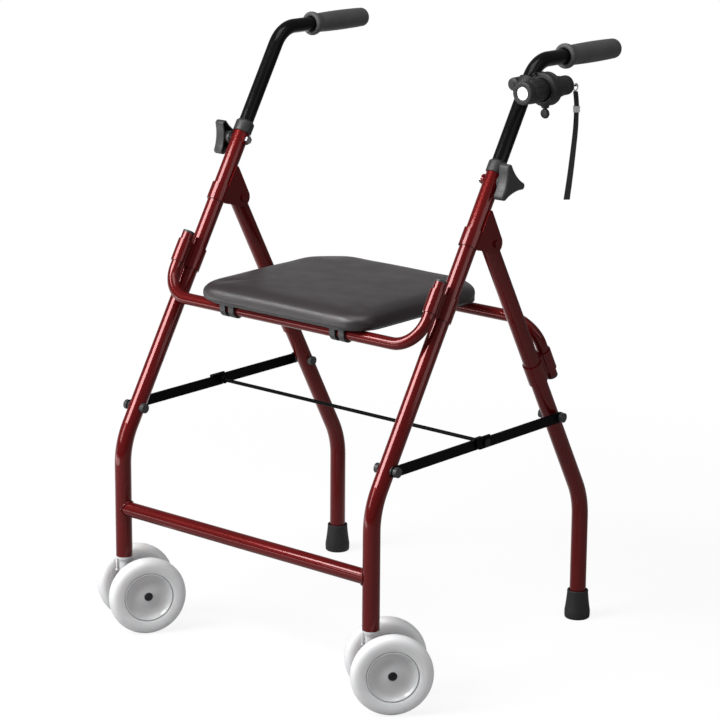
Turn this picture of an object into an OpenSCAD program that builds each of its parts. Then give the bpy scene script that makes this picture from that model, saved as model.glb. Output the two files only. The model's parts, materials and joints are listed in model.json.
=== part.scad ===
// Folding walker with a seat: two bent front legs on twin-wheel casters, two bent rear legs
// on rubber feet, hinged side braces, a flip-up padded seat and height-adjustable handles.
// Millimetres. +Z is up, the casters are at -Y, and the user stands at +Y.
// Left and right are the user's, so left is +X. The origin lies on the floor, midway between
// the caster swivel axes and the rear feet.

/* [Frame] */
// Distance between the left and right leg centrelines
leg_spacing = 435; // [415:1:460]
// Distance from the caster swivel axis to the rear foot axis
wheel_base = 437; // [430:1:455]
// Outside diameter of the leg tubes
leg_d = 22.2; // [21.5:0.1:23.5]
// Wall of the leg tubes
leg_wall = 1; // [0.8:0.05:1.4]
// Centreline radius of the leg bends
leg_bend_r = 100; // [80:1:120]
// Lean of the front legs from upright, in degrees
front_lean = 31.1; // [30.1:0.1:32.1]
// Height of the corner of the front leg bend
front_bend_z = 256.5; // [246:0.5:262]
// Height of the lower end of the front leg tubes
front_tube_z = 101; // [97:1:105]
// Length of the front leg from its bend corner to its top end
front_leg_up = 465; // [455:1:490]
// Lean of the rear legs from upright, in degrees
rear_lean = 28.9; // [27.9:0.1:29.9]
// Height of the corner of the rear leg bend
rear_bend_z = 171.5; // [160:0.5:185]
// Height of the lower front cross tube
cross_tube_z = 168; // [154:0.5:190]
// Outside diameter of the lower front cross tube
cross_tube_d = 20; // [16:0.5:22]

/* [Hinge] */
// Distance from the front leg axis back to the hinge bolt
hinge_offset = 34.8; // [32:0.2:40]
// Diameter of the hinge bolt
hinge_bolt_d = 6; // [5:0.5:7]
// Diameter of the hinge bolt head
hinge_head_d = 10.5; // [9:0.5:13]
// Thickness of the hinge bolt head
hinge_head_h = 2.5; // [2:0.5:4]
// Length of the rear leg above the hinge bolt
hinge_end = 13; // [11:0.5:15]
// Thickness of the hinge bracket sheet
bracket_sheet = 2; // [1.5:0.1:3]
// Radius of the bracket lobe around the hinge bolt
bracket_lobe_r = 12.5; // [11:0.5:14]
// Height of the bracket band that wraps the front leg
bracket_band = 23.5; // [18:0.5:28]
// Height of the bracket apex above the hinge bolt, along the leg
bracket_rise = 33; // [28:1:40]
// Depth of the bracket foot below the hinge bolt, along the leg
bracket_drop = 21; // [17:1:25]
// Radius of the bracket apex and foot corners
bracket_corner_r = 3.5; // [2.5:0.5:6]
// Side gap between the bracket ears and the rear leg
hinge_gap = 0.5; // [0.3:0.1:0.8]

/* [Braces] */
// Height of the brace pivots on the legs
brace_z = 302.5; // [292:0.5:312]
// Length of the front brace bar between its pivots
front_brace_len = 178; // [165:1:190]
// Depth of the brace bars
brace_bar_h = 14; // [12:0.5:17]
// Thickness of the brace bars
brace_bar_t = 2.5; // [2:0.1:3.5]
// Diameter of the brace bolts
brace_bolt_d = 6; // [5:0.5:7]
// Diameter of the brace bolt caps
brace_cap_d = 13; // [11:0.5:15]
// Thickness of the brace bolt caps
brace_cap_h = 5; // [3:0.5:7]
// Length of the stop tab in front of the middle joint
stop_front = 19; // [14:1:24]
// Length of the stop tab behind the middle joint
stop_back = 8; // [5:1:10]
// Thickness of the stop tab
stop_t = 2; // [1.5:0.1:3]
// Diameter of the cross rod between the middle joints
rod_d = 5; // [4:0.5:7]
// Diameter of the bosses at the ends of the cross rod
rod_boss_d = 10; // [8:0.5:13]
// Length of the bosses at the ends of the cross rod
rod_boss_len = 6; // [4:0.5:10]
// Diameter of the rivet heads at the middle joints
rivet_d = 11; // [8:0.5:13]
// Thickness of the rivet heads
rivet_h = 2.5; // [1.5:0.1:4]

/* [Seat frame] */
// Outside diameter of the U-shaped seat tubes
seat_tube_d = 16; // [14:0.5:18]
// Wall of the seat tubes
seat_tube_wall = 1.2; // [0.8:0.1:1.6]
// Centreline radius of the seat tube bends
seat_tube_bend = 40; // [32:1:46]
// Height of the level run of the front seat tube
seat_tube_z = 447; // [440:0.5:452]
// How far the rear seat tube lies below the front one
rear_tube_below = 7.5; // [6:0.5:9]
// Distance from each leg axis to the seat tube in front of or behind it
seat_tube_off = 27; // [24:0.5:30]
// Length of the front seat tube ends above the level run
seat_tube_rise = 88; // [84:1:95]
// Length of the rear seat tube ends below the level run
seat_tube_drop = 92; // [86:1:100]
// Length of the straps that hold the seat tubes to the legs
strap_len = 31; // [25:1:36]
// Distance from the seat tube ends to the straps
strap_inset = 10; // [6:0.5:14]
// Sheet of the straps
strap_sheet = 1.8; // [1.2:0.1:2.4]
// Width of the web between the two bands of a strap
strap_web = 9; // [6:0.5:12]
// Height of the plugs that close the seat tubes and the rear leg tops
plug_h = 3; // [2:0.5:4]
// Depth of the plugs inside their tubes
plug_deep = 6; // [4:0.5:7]

/* [Seat] */
// Width of the seat
seat_w = 290; // [270:1:320]
// Depth of the seat from front to back
seat_depth = 268; // [262:1:290]
// Overhang of the seat in front of the front seat tube
seat_front = 23.5; // [18:0.5:26]
// Corner radius of the seat
seat_corner_r = 45; // [35:1:60]
// Thickness of the seat board
board_t = 6; // [5:0.5:9]
// Inset of the board from the edge of the cushion
board_inset = 5; // [3:0.5:8]
// Thickness of the cushion
cushion_t = 19; // [16:0.5:26]
// Width of the rounded cushion edge
cushion_edge = 14; // [8:0.5:20]
// Length of the rest under the back of the seat
rest_len = 180; // [150:1:190]
// Depth of the rest from front to back
rest_w = 26; // [20:1:32]
// Distance from the middle of the seat to each clip
clip_x = 95; // [70:1:115]
// Width of each seat clip
clip_w = 24; // [20:1:30]
// Gap between the two lugs of a clip
clip_split = 6; // [4:0.5:9]
// Wall of the seat clips
clip_wall = 3.2; // [2.4:0.1:4]
// Reach of the clip flange behind the front seat tube axis
clip_flange = 40; // [36:0.5:44]
// Distance from the clip's back to its first screw
clip_screw_first = 8; // [6:0.5:10]
// Distance between the two screws of a clip
clip_screw_pitch = 14; // [10:0.5:14]
// Thickness of the clip flanges
clip_flange_t = 3; // [2:0.5:4]
// Diameter of the seat screws
seat_screw_d = 4; // [3:0.5:5]
// Diameter of the seat screw heads
seat_screw_head_d = 8; // [6.5:0.5:9]
// Height of the seat screw heads
seat_screw_head_h = 2.4; // [1.6:0.2:3]

/* [Handles] */
// Height of the corner of the handle bend
handle_z = 780; // [770:1:800]
// Wall of the handle tubes
handle_wall = 1.5; // [1:0.1:2]
// Centreline radius of the handle bend
handle_bend_r = 42; // [36:1:50]
// Droop of the grips below level, in degrees
handle_droop = 0.8; // [0:0.1:3]
// Distance from the handle bend corner to the front of the grip
grip_start = 58; // [50:1:68]
// Length of the grips
grip_len = 115; // [102:1:130]
// Wall of rubber over the end of the handle tube
grip_end_wall = 6; // [4:0.5:9]
// Diameter of the grip flange
grip_flange_d = 33; // [31:0.5:38]
// Diameter of the grip at its ends
grip_d = 26.5; // [24:0.5:29]
// Extra radius in the middle of the grip
grip_swell = 0.9; // [0:0.1:2]
// Height travel of the handles along the legs
handle_travel = 120; // [80:1:130]
// Distance from the top of the leg down to the height bolt
height_bolt_below = 20; // [17:0.5:28]
// Diameter of the height bolt
height_bolt_d = 6; // [5:0.5:7]
// Wall of the collar around the leg top
collar_wall = 1.7; // [1.2:0.1:2.5]
// Length of the collar below the leg top
collar_over = 10.5; // [8:0.5:10.5]
// Length of the collar above the leg top
collar_rise = 6.5; // [5:0.5:10]
// Diameter of the welded lug inside the leg at the height bolt
lug_d = 14; // [12:0.5:16]
// Height of the welded lug
lug_h = 3; // [2:0.5:5]

/* [Knobs] */
// Distance from the knob centre to the centres of its lobes
knob_lobe_at = 21; // [18:0.5:24]
// Radius of the knob lobes
knob_lobe_r = 5; // [4:0.5:6.5]
// Radius of the hollow sides of the knob
knob_scoop_r = 60; // [50:1:80]
// Depth of the hollow sides of the knob
knob_scoop = 3; // [1:0.2:3.6]
// Thickness of the knob
knob_t = 15; // [12:0.5:18]
// Wall of the knob
knob_wall = 2.5; // [2:0.1:3]
// Thickness of the outer skin of the knob
knob_skin = 3.5; // [2.5:0.5:5]
// Distance from the leg to the inner edge of the knob
knob_stand = 6.5; // [5:0.5:9]
// Turn of the left knob about its bolt, in degrees
knob_turn_left = -16; // [-60:1:60]
// Turn of the right knob about its bolt, in degrees
knob_turn_right = -5; // [-60:1:60]
// Diameter of the knob hub
knob_hub_d = 18; // [16:0.5:19]
// Diameter of the metal insert in the knob
insert_d = 12; // [10:0.5:13]
// Length of the metal insert
insert_len = 16; // [13:0.5:17]

/* [Casters] */
// Diameter of the caster wheels
wheel_d = 105; // [98:1:108]
// Width of the caster wheels
wheel_w = 22; // [18.5:0.5:24]
// Distance between the middles of the two wheels of a caster
wheel_track = 66; // [60:0.5:72]
// Distance from the swivel axis back to the axle
caster_trail = 23; // [18:0.5:28]
// Turn of the left caster about its stem, in degrees
caster_turn_left = 43; // [0:1:60]
// Turn of the right caster about its stem, in degrees
caster_turn_right = 31; // [0:1:60]
// Diameter of the wheel core
wheel_core_d = 66; // [58:1:74]
// Depth of the dish in the outer face of each wheel
wheel_dish = 5; // [3:0.2:6]
// Depth of the step between the core and the tyre
wheel_seam = 0.6; // [0.3:0.1:1]
// Diameter of the wheel hub
wheel_hub_d = 24; // [20:1:30]
// Rounding of the tyre shoulders
tyre_round = 9; // [5:0.5:9]
// Diameter of the axle
axle_d = 8; // [7:0.5:10]
// Diameter of the axle heads
axle_head_d = 12; // [11:0.5:15]
// Thickness of the axle heads
axle_head_h = 2.7; // [2:0.1:4]
// Diameter of the barrel around the axle
barrel_d = 28; // [24:0.5:32]
// Diameter of the upright hub of the caster body
caster_hub_d = 21; // [18:0.5:24]
// Diameter of the caster stem
stem_d = 10; // [8:0.5:11]
// Length of the caster stem inside the leg
stem_len = 50; // [35:1:60]
// Thickness of the flange of the caster sleeve
sleeve_flange = 3; // [2:0.5:4]
// Length of the caster sleeve inside the leg
sleeve_len = 54; // [40:1:64]

/* [Feet] */
// Diameter of the rear feet at the floor
foot_d = 35; // [31:0.5:40]
// Diameter of the rear feet at the top
foot_top_d = 28.5; // [26:0.5:30]
// Height of the rear feet
foot_h = 40; // [32:1:50]
// Thickness of rubber under the leg
foot_base = 6; // [4:0.5:9]
// Height of the straight rim at the floor
foot_rim = 12; // [8:0.5:16]

/* [Torch] */
// Distance from the handle bend down to the torch clamp
torch_below_bend = 10; // [9.5:0.5:16]
// Length of the torch
torch_len = 94; // [84:1:104]
// Distance from the torch lens back to the clamp
torch_front = 57; // [52:1:62]
// Diameter of the torch head
torch_head_d = 30; // [28:0.5:33]
// Length of the torch head
torch_head_len = 38; // [32:0.5:40]
// Diameter of the torch barrel
torch_d = 27; // [25:0.5:27.5]
// Diameter of the torch tail
torch_tail_d = 25; // [22:0.5:25]
// Length of the torch tail
torch_tail_len = 13; // [10:0.5:15]
// Diameter of the lens
lens_d = 19.5; // [16:0.5:22]
// Thickness of the lens
lens_t = 2; // [1.5:0.1:3]
// Depth of the lens behind the rim
lens_deep = 1; // [0.5:0.1:2]
// Diameter of the tail switch
switch_d = 8; // [7:0.5:9]
// Height of the tail switch above the tail
switch_h = 2.5; // [2:0.1:3.5]
// Depth of the pocket of the tail switch
switch_deep = 6; // [5:0.5:8]
// Travel of the tail switch
switch_travel = 1.5; // [0.5:0.1:1.8]
// Outside diameter of the holder ring
holder_d = 43; // [40:0.2:46]
// Length of the holder ring
holder_len = 17; // [14:0.5:20]
// Reach of the holder ring ahead of the tilt pin
holder_ahead = 17; // [14:0.5:18]
// Wall of the clamp band around the handle tube
band_wall = 3.4; // [2.5:0.1:4.5]
// Length of the clamp band
band_len = 18; // [14:0.5:18]
// Diameter of the clamp lug on the inner side of the handle tube
clamp_lug_d = 17; // [14:0.5:18]
// Distance from the handle tube axis to the clamp lug
clamp_lug_at = 17; // [15:0.5:19]
// Diameter of the clamp boss
boss_d = 16; // [13:0.5:18]
// Diameter of the tilt pin
tilt_pin_d = 6; // [4:0.5:7]
// Length of the tilt pin
tilt_pin_len = 4.5; // [3:0.5:4.5]
// Diameter of the thumb screw
thumb_d = 5; // [4:0.5:6]
// Length of the thumb screw shank that shows
thumb_len = 5; // [4:0.5:8]
// Diameter of the round thumb screw paddle
paddle_w = 13; // [10:0.5:15]
// Thickness of the thumb screw paddle
paddle_t = 4.5; // [3:0.5:6]
// Radius of the eye on the torch tail
eye_r = 3.6; // [3.4:0.1:4.4]
// Radius of the ring that holds the wrist strap
ring_r = 4.5; // [4:0.1:6]
// Thickness of the wire of the eye and the ring
ring_wire = 1.8; // [1.4:0.1:2]
// Width of the wrist strap
strap_w = 6.5; // [5:0.5:8]
// Thickness of the folded wrist strap
strap_t = 2.4; // [1.6:0.2:3]
// Length of the crimp on the wrist strap
crimp_len = 8; // [6:0.5:10]
// Wall of the crimp
crimp_wall = 0.8; // [0.6:0.1:1.2]

/* [Fits] */
// Radial clearance of pins and shafts that turn
run_clear = 0.08; // [0.04:0.01:0.1]
// Gap between pieces that move past each other
part_gap = 0.3; // [0.3:0.05:0.5]

/* [Hidden] */
$fn = 64;
// A little extra length on every cut, so that it passes its face
cut = 1;
// Tubes draw in a little round their bends, and the straight lengths run on a little
bend_shrink = 0.02;
bend_lap = 0.5;
paint = [0.42, 0.04, 0.06];
black = [0.05, 0.05, 0.055];
dark_grey = [0.2, 0.2, 0.21];
pale_grey = [0.82, 0.83, 0.84];
steel = [0.7, 0.7, 0.72];
half_x = leg_spacing / 2;
half_y = wheel_base / 2;
leg_r = leg_d / 2;
leg_bore_r = leg_r - leg_wall;
handle_r = leg_bore_r - part_gap;
seat_tube_r = seat_tube_d / 2;
// Place of the hinge bolt on the rear leg, and its height along the front leg
hinge_rear_s = (wheel_base * cos(front_lean) + (front_bend_z - rear_bend_z) * sin(front_lean)
    - hinge_offset) / sin(front_lean + rear_lean);
hinge_y = half_y - hinge_rear_s * sin(rear_lean);
hinge_z = rear_bend_z + hinge_rear_s * cos(rear_lean);
hinge_s = (hinge_y + half_y) * sin(front_lean) + (hinge_z - front_bend_z) * cos(front_lean);
rear_leg_up = hinge_rear_s + hinge_end;
ear_x = leg_r + hinge_gap;
// Brace pivots
brace_front_s = (brace_z - front_bend_z) / cos(front_lean);
brace_rear_s = (brace_z - rear_bend_z) / cos(rear_lean);
brace_front_y = -half_y + brace_front_s * sin(front_lean);
brace_rear_y = half_y - brace_rear_s * sin(rear_lean);
brace_mid_y = brace_front_y + front_brace_len;
bar_a = leg_r + 2 * part_gap;
bar_b = bar_a + brace_bar_t + part_gap;
// Level runs of the seat tubes
front_run_s = (seat_tube_z - front_bend_z - seat_tube_off * sin(front_lean)) / cos(front_lean);
rear_run_s = (seat_tube_z - rear_tube_below - rear_bend_z - seat_tube_off * sin(rear_lean))
    / cos(rear_lean);
front_run_y = -half_y + front_run_s * sin(front_lean) - seat_tube_off * cos(front_lean);
rear_run_y = half_y - rear_run_s * sin(rear_lean) + seat_tube_off * cos(rear_lean);
// Seat
board_z = seat_tube_z + seat_tube_r + part_gap;
cushion_z = board_z + board_t;
seat_mid_y = front_run_y - seat_front + seat_depth / 2;
clip_bore_r = seat_tube_r + run_clear;
clip_r = clip_bore_r + clip_wall;
// Handles
bolt_s = front_leg_up - height_bolt_below;
bolt_y = -half_y + bolt_s * sin(front_lean);
bolt_z = front_bend_z + bolt_s * cos(front_lean);
handle_s = (handle_z - front_bend_z) / cos(front_lean);
handle_turn = 90 - front_lean + handle_droop;
handle_tan = handle_bend_r * tan(handle_turn / 2);
handle_slot_r = height_bolt_d / 2 + part_gap;
handle_slot_end = 24;
handle_low = bolt_s - handle_travel - handle_slot_r - handle_slot_end;
handle_reach = grip_start + grip_len - grip_end_wall;
// Knobs
knob_face = leg_r + part_gap;
knob_in = knob_face + knob_stand;
knob_out = knob_in + knob_t;
height_nut_d = 11;
height_nut_h = 4;
// Casters
axle_z = wheel_d / 2;
barrel_half = wheel_track / 2 - wheel_w / 2 - part_gap;
caster_top = front_tube_z - sleeve_flange - part_gap;
axle_half = wheel_track / 2 + wheel_w / 2 - wheel_dish + part_gap;
neck_w = caster_hub_d - 2;
neck_h = 20;
tyre_tread = wheel_w - 2 * tyre_round;
// Torch
torch_s = handle_s - handle_tan - torch_below_bend;
torch_y = -half_y + torch_s * sin(front_lean);
torch_z = front_bend_z + torch_s * cos(front_lean);
clamp_face = handle_r + band_wall + part_gap;
// A low handle brings the torch down beside the knob, and its holder then stands off past the knob
torch_hang = holder_d / 2 + 2 * thumb_len + paddle_w;
knob_beside = torch_z - bolt_z < knob_lobe_at + knob_lobe_r + torch_hang;
torch_stand = knob_beside ? max(clamp_face, knob_out) : clamp_face;
torch_x = half_x + torch_stand + part_gap + holder_d / 2;
thumb_y = torch_y - holder_ahead + holder_len / 2;
torch_tail_y = torch_y - torch_front + torch_len;
eye_gap = 2.3;
eye_side = 9;
eye_x = torch_x + eye_side;
eye_y = torch_tail_y + eye_gap;
eye_z = torch_z;
// The ring hangs in the eye, and the wrist strap hangs from the ring
ring_touch = 0.1;
ring_y = eye_y + eye_r;
ring_z = eye_z - ring_r + ring_wire + ring_touch;
strap_top = ring_z - ring_r - ring_wire / 2 - ring_touch;
// Points of the strap's route: distance behind the ring, and depth below it
strap_route = [[0, 0], [2, 10], [3, 18], [3, 30], [2, 50], [-2, 78], [-7, 108], [-13, 138]];
strap_points = [for (p = strap_route) [eye_x, ring_y + p[0], strap_top - p[1]]];
strap_turn = 45;
// Depth of the crimp's middle below the ring
crimp_drop = 23;

// Local frames: a leg's own frame has z up the leg and y behind it
module at_front(s, n = 0) {
    translate([0, -half_y + s * sin(front_lean) + n * cos(front_lean),
        front_bend_z + s * cos(front_lean) - n * sin(front_lean)])
        rotate([-front_lean, 0, 0])
            children();
}

module at_rear(s, n = 0) {
    translate([0, half_y - s * sin(rear_lean) + n * cos(rear_lean),
        rear_bend_z + s * cos(rear_lean) + n * sin(rear_lean)])
        rotate([rear_lean, 0, 0])
            children();
}

module left_side() {
    translate([half_x, 0, 0])
        children();
}

module right_side() {
    mirror([1, 0, 0])
        translate([half_x, 0, 0])
            children();
}

module both_sides() {
    left_side() children();
    right_side() children();
}

// Basic shapes
module rod_x(r, x0, x1) {
    translate([x0, 0, 0])
        rotate([0, 90, 0])
            cylinder(r = r, h = x1 - x0);
}

module hex_x(d, x0, x1) {
    translate([x0, 0, 0])
        rotate([0, 90, 0])
            cylinder(d = d, h = x1 - x0, $fn = 6);
}

module yz_plate(x0, x1) {
    translate([x0, 0, 0])
        rotate([90, 0, 90])
            linear_extrude(height = x1 - x0)
                children();
}

module tube_bend(bend_r, turn, r) {
    translate([0, bend_r, 0])
        rotate([90, 0, -90])
            rotate_extrude(angle = turn)
                translate([bend_r, 0])
                    circle(r = r - bend_shrink);
}

module bent_rod(z0, corner_z, lean, up, r, over) {
    tan_len = leg_bend_r * tan(lean / 2);
    translate([0, 0, z0 - over])
        cylinder(r = r, h = corner_z - tan_len - z0 + over + bend_lap);
    translate([0, 0, corner_z - tan_len])
        tube_bend(leg_bend_r, lean, r);
    translate([0, tan_len * sin(lean), corner_z + tan_len * cos(lean)])
        rotate([-lean, 0, 0])
            translate([0, 0, -bend_lap])
                cylinder(r = r, h = up - tan_len + over + bend_lap);
}

// Two circles and their outer tangents, from the origin along +Y
module tapered_link(ra, rb, d) {
    b = acos((ra - rb) / d);
    circle(r = ra);
    translate([0, d])
        circle(r = rb);
    polygon([[ra * sin(b), ra * cos(b)], [rb * sin(b), d + rb * cos(b)],
        [-rb * sin(b), d + rb * cos(b)], [-ra * sin(b), ra * cos(b)]]);
}

module link_between(p, ra, q, rb) {
    translate(p)
        rotate(atan2(q[1] - p[1], q[0] - p[0]) - 90)
            tapered_link(ra, rb, norm(q - p));
}

module rounded_rect(w, d, r) {
    square([w - 2 * r, d], center = true);
    square([w, d - 2 * r], center = true);
    for (sx = [-1, 1], sy = [-1, 1])
        translate([sx * (w / 2 - r), sy * (d / 2 - r)])
            circle(r = r);
}

// Front frame
module front_leg_solid(r, over) {
    translate([0, -half_y, 0])
        bent_rod(front_tube_z, front_bend_z, front_lean, front_leg_up, r, over);
}

module front_leg() {
    color(paint)
        difference() {
            union() {
                front_leg_solid(leg_r, 0);
                at_front(bolt_s)
                    rod_x(lug_d / 2, -leg_r - lug_h, -leg_bore_r);
            }
            front_leg_solid(leg_bore_r, cut);
            at_front(bolt_s)
                rod_x(height_bolt_d / 2, -leg_r - lug_h - cut, leg_r + cut);
            at_front(brace_front_s)
                rod_x(brace_bolt_d / 2, -leg_r - cut, leg_r + cut);
        }
}

module front_leg_left() {
    left_side() front_leg();
}

module front_leg_right() {
    right_side() front_leg();
}

module front_cross_tube() {
    color(paint)
        difference() {
            translate([0, -half_y, cross_tube_z])
                rod_x(cross_tube_d / 2, -half_x, half_x);
            translate([0, -half_y, cross_tube_z])
                rod_x(cross_tube_d / 2 - leg_wall, -half_x - cut, half_x + cut);
            both_sides()
                translate([0, -half_y, cross_tube_z - leg_d])
                    cylinder(r = leg_r, h = 2 * leg_d);
        }
}

// A U-shaped tube: a level run along X at the origin, and two ends that rise
module u_rod(rise, r, over) {
    run = half_x - seat_tube_bend;
    rod_x(r, -run, run);
    for (side = [0, 1])
        mirror([side, 0, 0]) {
            translate([run, 0, seat_tube_bend])
                rotate([90, 0, 0])
                    rotate([0, 0, -90])
                        rotate_extrude(angle = 90)
                            translate([seat_tube_bend, 0])
                                circle(r = r);
            translate([half_x, 0, seat_tube_bend])
                cylinder(r = r, h = rise - seat_tube_bend + over);
        }
}

module u_tube(rise) {
    difference() {
        u_rod(rise, seat_tube_r, 0);
        u_rod(rise, seat_tube_r - seat_tube_wall, cut);
    }
}

module tube_plug(r, wall) {
    translate([0, 0, -plug_deep])
        cylinder(r = r - wall, h = plug_deep + plug_h / 2);
    cylinder(r = r, h = plug_h);
}

// A strap: a band round a leg at the origin, a band round the seat tube and a web between them
module seat_strap() {
    linear_extrude(height = strap_len)
        difference() {
            union() {
                circle(r = leg_r + strap_sheet);
                translate([0, seat_tube_off])
                    circle(r = seat_tube_r + strap_sheet);
                translate([-strap_web / 2, 0])
                    square([strap_web, seat_tube_off]);
            }
            circle(r = leg_r);
            translate([0, seat_tube_off])
                circle(r = seat_tube_r);
        }
}

module front_seat_tube() {
    color(paint)
        at_front(front_run_s, -seat_tube_off)
            u_tube(seat_tube_rise);
}

module front_seat_straps() {
    color(paint)
        both_sides()
            at_front(front_run_s + seat_tube_rise - strap_inset - strap_len)
                rotate([0, 0, 180])
                    seat_strap();
}

module front_tube_plugs() {
    color(dark_grey)
        both_sides()
            at_front(front_run_s + seat_tube_rise, -seat_tube_off)
                tube_plug(seat_tube_r, seat_tube_wall);
}

// Side outline of a hinge bracket, from the front leg axis at the hinge bolt's height
module bracket_outline() {
    lobe = [hinge_offset, 0];
    apex = [bracket_corner_r, bracket_rise - bracket_corner_r];
    foot = [bracket_corner_r, bracket_corner_r - bracket_drop];
    link_between(lobe, bracket_lobe_r, apex, bracket_corner_r);
    link_between(lobe, bracket_lobe_r, foot, bracket_corner_r);
    link_between(apex, bracket_corner_r, foot, bracket_corner_r);
    polygon([lobe, apex, foot]);
    translate([-leg_r - bracket_sheet - cut, -bracket_drop])
        square([leg_r + bracket_sheet + cut + bracket_corner_r, bracket_band]);
}

module bracket_section() {
    reach = hinge_offset + bracket_lobe_r + cut;
    difference() {
        union() {
            circle(r = leg_r + bracket_sheet);
            translate([-ear_x - bracket_sheet, 0])
                square([2 * (ear_x + bracket_sheet), reach]);
        }
        circle(r = leg_r);
        translate([-ear_x, 0])
            square([2 * ear_x, reach + cut]);
    }
}

module hinge_brackets() {
    span = bracket_rise + bracket_drop + 2 * cut;
    color(paint)
        both_sides()
            at_front(hinge_s)
                difference() {
                    intersection() {
                        translate([0, 0, -bracket_drop - cut])
                            linear_extrude(height = span)
                                bracket_section();
                        yz_plate(-ear_x - bracket_sheet - cut, ear_x + bracket_sheet + cut)
                            bracket_outline();
                    }
                    translate([0, hinge_offset, 0])
                        rod_x(hinge_bolt_d / 2, -ear_x - bracket_sheet - cut,
                            ear_x + bracket_sheet + cut);
                }
}

module hinge_bolts() {
    end = ear_x + bracket_sheet;
    color(steel)
        both_sides()
            translate([0, hinge_y, hinge_z]) {
                rod_x(hinge_bolt_d / 2, -end, end);
                hex_x(hinge_head_d, -end - hinge_head_h, -end);
                rod_x(hinge_head_d / 2, end, end + hinge_head_h);
            }
}

module leg_collars() {
    color(dark_grey)
        both_sides()
            at_front(front_leg_up)
                difference() {
                    translate([0, 0, -collar_over])
                        cylinder(r = leg_r + collar_wall, h = collar_over + collar_rise);
                    translate([0, 0, -collar_over - cut])
                        cylinder(r = leg_r, h = collar_over + cut);
                    cylinder(r = handle_r + run_clear, h = collar_rise + cut);
                }
}

module height_bolts() {
    head = leg_r + lug_h;
    color(steel)
        both_sides()
            at_front(bolt_s) {
                rod_x(height_bolt_d / 2, -head, knob_face + insert_len - part_gap);
                hex_x(height_nut_d, -head - height_nut_h, -head);
            }
}

// A brace bolt along X through a leg at the origin, with a shoulder up to the bar
module brace_bolt(bar_x) {
    rod_x(brace_bolt_d / 2, -leg_r, bar_x + brace_bar_t + part_gap);
    rod_x(brace_cap_d / 2, bar_x + brace_bar_t + part_gap,
        bar_x + brace_bar_t + part_gap + brace_cap_h);
    difference() {
        union() {
            rod_x(brace_cap_d / 2, -leg_r - brace_cap_h, -leg_r + leg_wall);
            rod_x(brace_cap_d / 2, leg_bore_r, bar_x - part_gap);
        }
        translate([0, 0, -leg_d])
            cylinder(r = leg_r, h = 2 * leg_d);
    }
}

module front_brace_bolts() {
    color(black)
        both_sides()
            at_front(brace_front_s)
                brace_bolt(bar_a);
}

module caster_sleeves() {
    color(pale_grey)
        both_sides()
            translate([0, -half_y, front_tube_z])
                difference() {
                    union() {
                        translate([0, 0, -sleeve_flange])
                            cylinder(r = leg_r, h = sleeve_flange);
                        cylinder(r = leg_bore_r, h = sleeve_len);
                    }
                    translate([0, 0, -sleeve_flange - cut])
                        cylinder(r = stem_d / 2 + run_clear, h = sleeve_flange + sleeve_len + 2 * cut);
                }
}

// Rear frame
module rear_leg_solid(r, z0, over) {
    translate([0, half_y, 0])
        mirror([0, 1, 0])
            bent_rod(z0, rear_bend_z, rear_lean, rear_leg_up, r, over);
}

module rear_leg() {
    color(paint)
        difference() {
            rear_leg_solid(leg_r, foot_base, 0);
            rear_leg_solid(leg_bore_r, foot_base, cut);
            at_rear(hinge_rear_s)
                rod_x(hinge_bolt_d / 2 + run_clear, -leg_r - cut, leg_r + cut);
            at_rear(brace_rear_s)
                rod_x(brace_bolt_d / 2, -leg_r - cut, leg_r + cut);
        }
}

module rear_leg_left() {
    left_side() rear_leg();
}

module rear_leg_right() {
    right_side() rear_leg();
}

module rear_seat_tube() {
    color(paint)
        at_rear(rear_run_s, seat_tube_off)
            mirror([0, 0, 1])
                u_tube(seat_tube_drop);
}

module rear_seat_straps() {
    color(paint)
        both_sides()
            at_rear(rear_run_s - seat_tube_drop + strap_inset)
                seat_strap();
}

module rear_tube_plugs() {
    color(black)
        both_sides() {
            at_rear(rear_run_s - seat_tube_drop, seat_tube_off)
                mirror([0, 0, 1])
                    tube_plug(seat_tube_r, seat_tube_wall);
            at_rear(rear_leg_up)
                tube_plug(leg_r, leg_wall);
        }
}

module rear_feet() {
    color(black)
        both_sides()
            translate([0, half_y, 0])
                difference() {
                    union() {
                        cylinder(d = foot_d, h = foot_rim);
                        translate([0, 0, foot_rim])
                            cylinder(d1 = foot_d - 2 * part_gap, d2 = foot_top_d, h = foot_h - foot_rim);
                    }
                    translate([0, 0, foot_base])
                        cylinder(r = leg_r, h = foot_h);
                }
}

module rear_brace_bolts() {
    color(black)
        both_sides()
            at_rear(brace_rear_s)
                brace_bolt(bar_b);
}

// Braces
module front_brace() {
    color(black)
        difference() {
            yz_plate(bar_a, bar_a + brace_bar_t)
                link_between([brace_front_y, brace_z], brace_bar_h / 2,
                    [brace_mid_y, brace_z], brace_bar_h / 2);
            translate([0, brace_front_y, brace_z])
                rod_x(brace_bolt_d / 2 + run_clear, bar_a - cut, bar_a + brace_bar_t + cut);
        }
}

module front_brace_left() {
    left_side() front_brace();
}

module front_brace_right() {
    right_side() front_brace();
}

module brace_cross_rod() {
    end = half_x + bar_a;
    color(black)
        translate([0, brace_mid_y, brace_z]) {
            rod_x(rod_d / 2, -end, end);
            rod_x(rod_boss_d / 2, -end, -end + rod_boss_len);
            rod_x(rod_boss_d / 2, end - rod_boss_len, end);
        }
}

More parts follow.
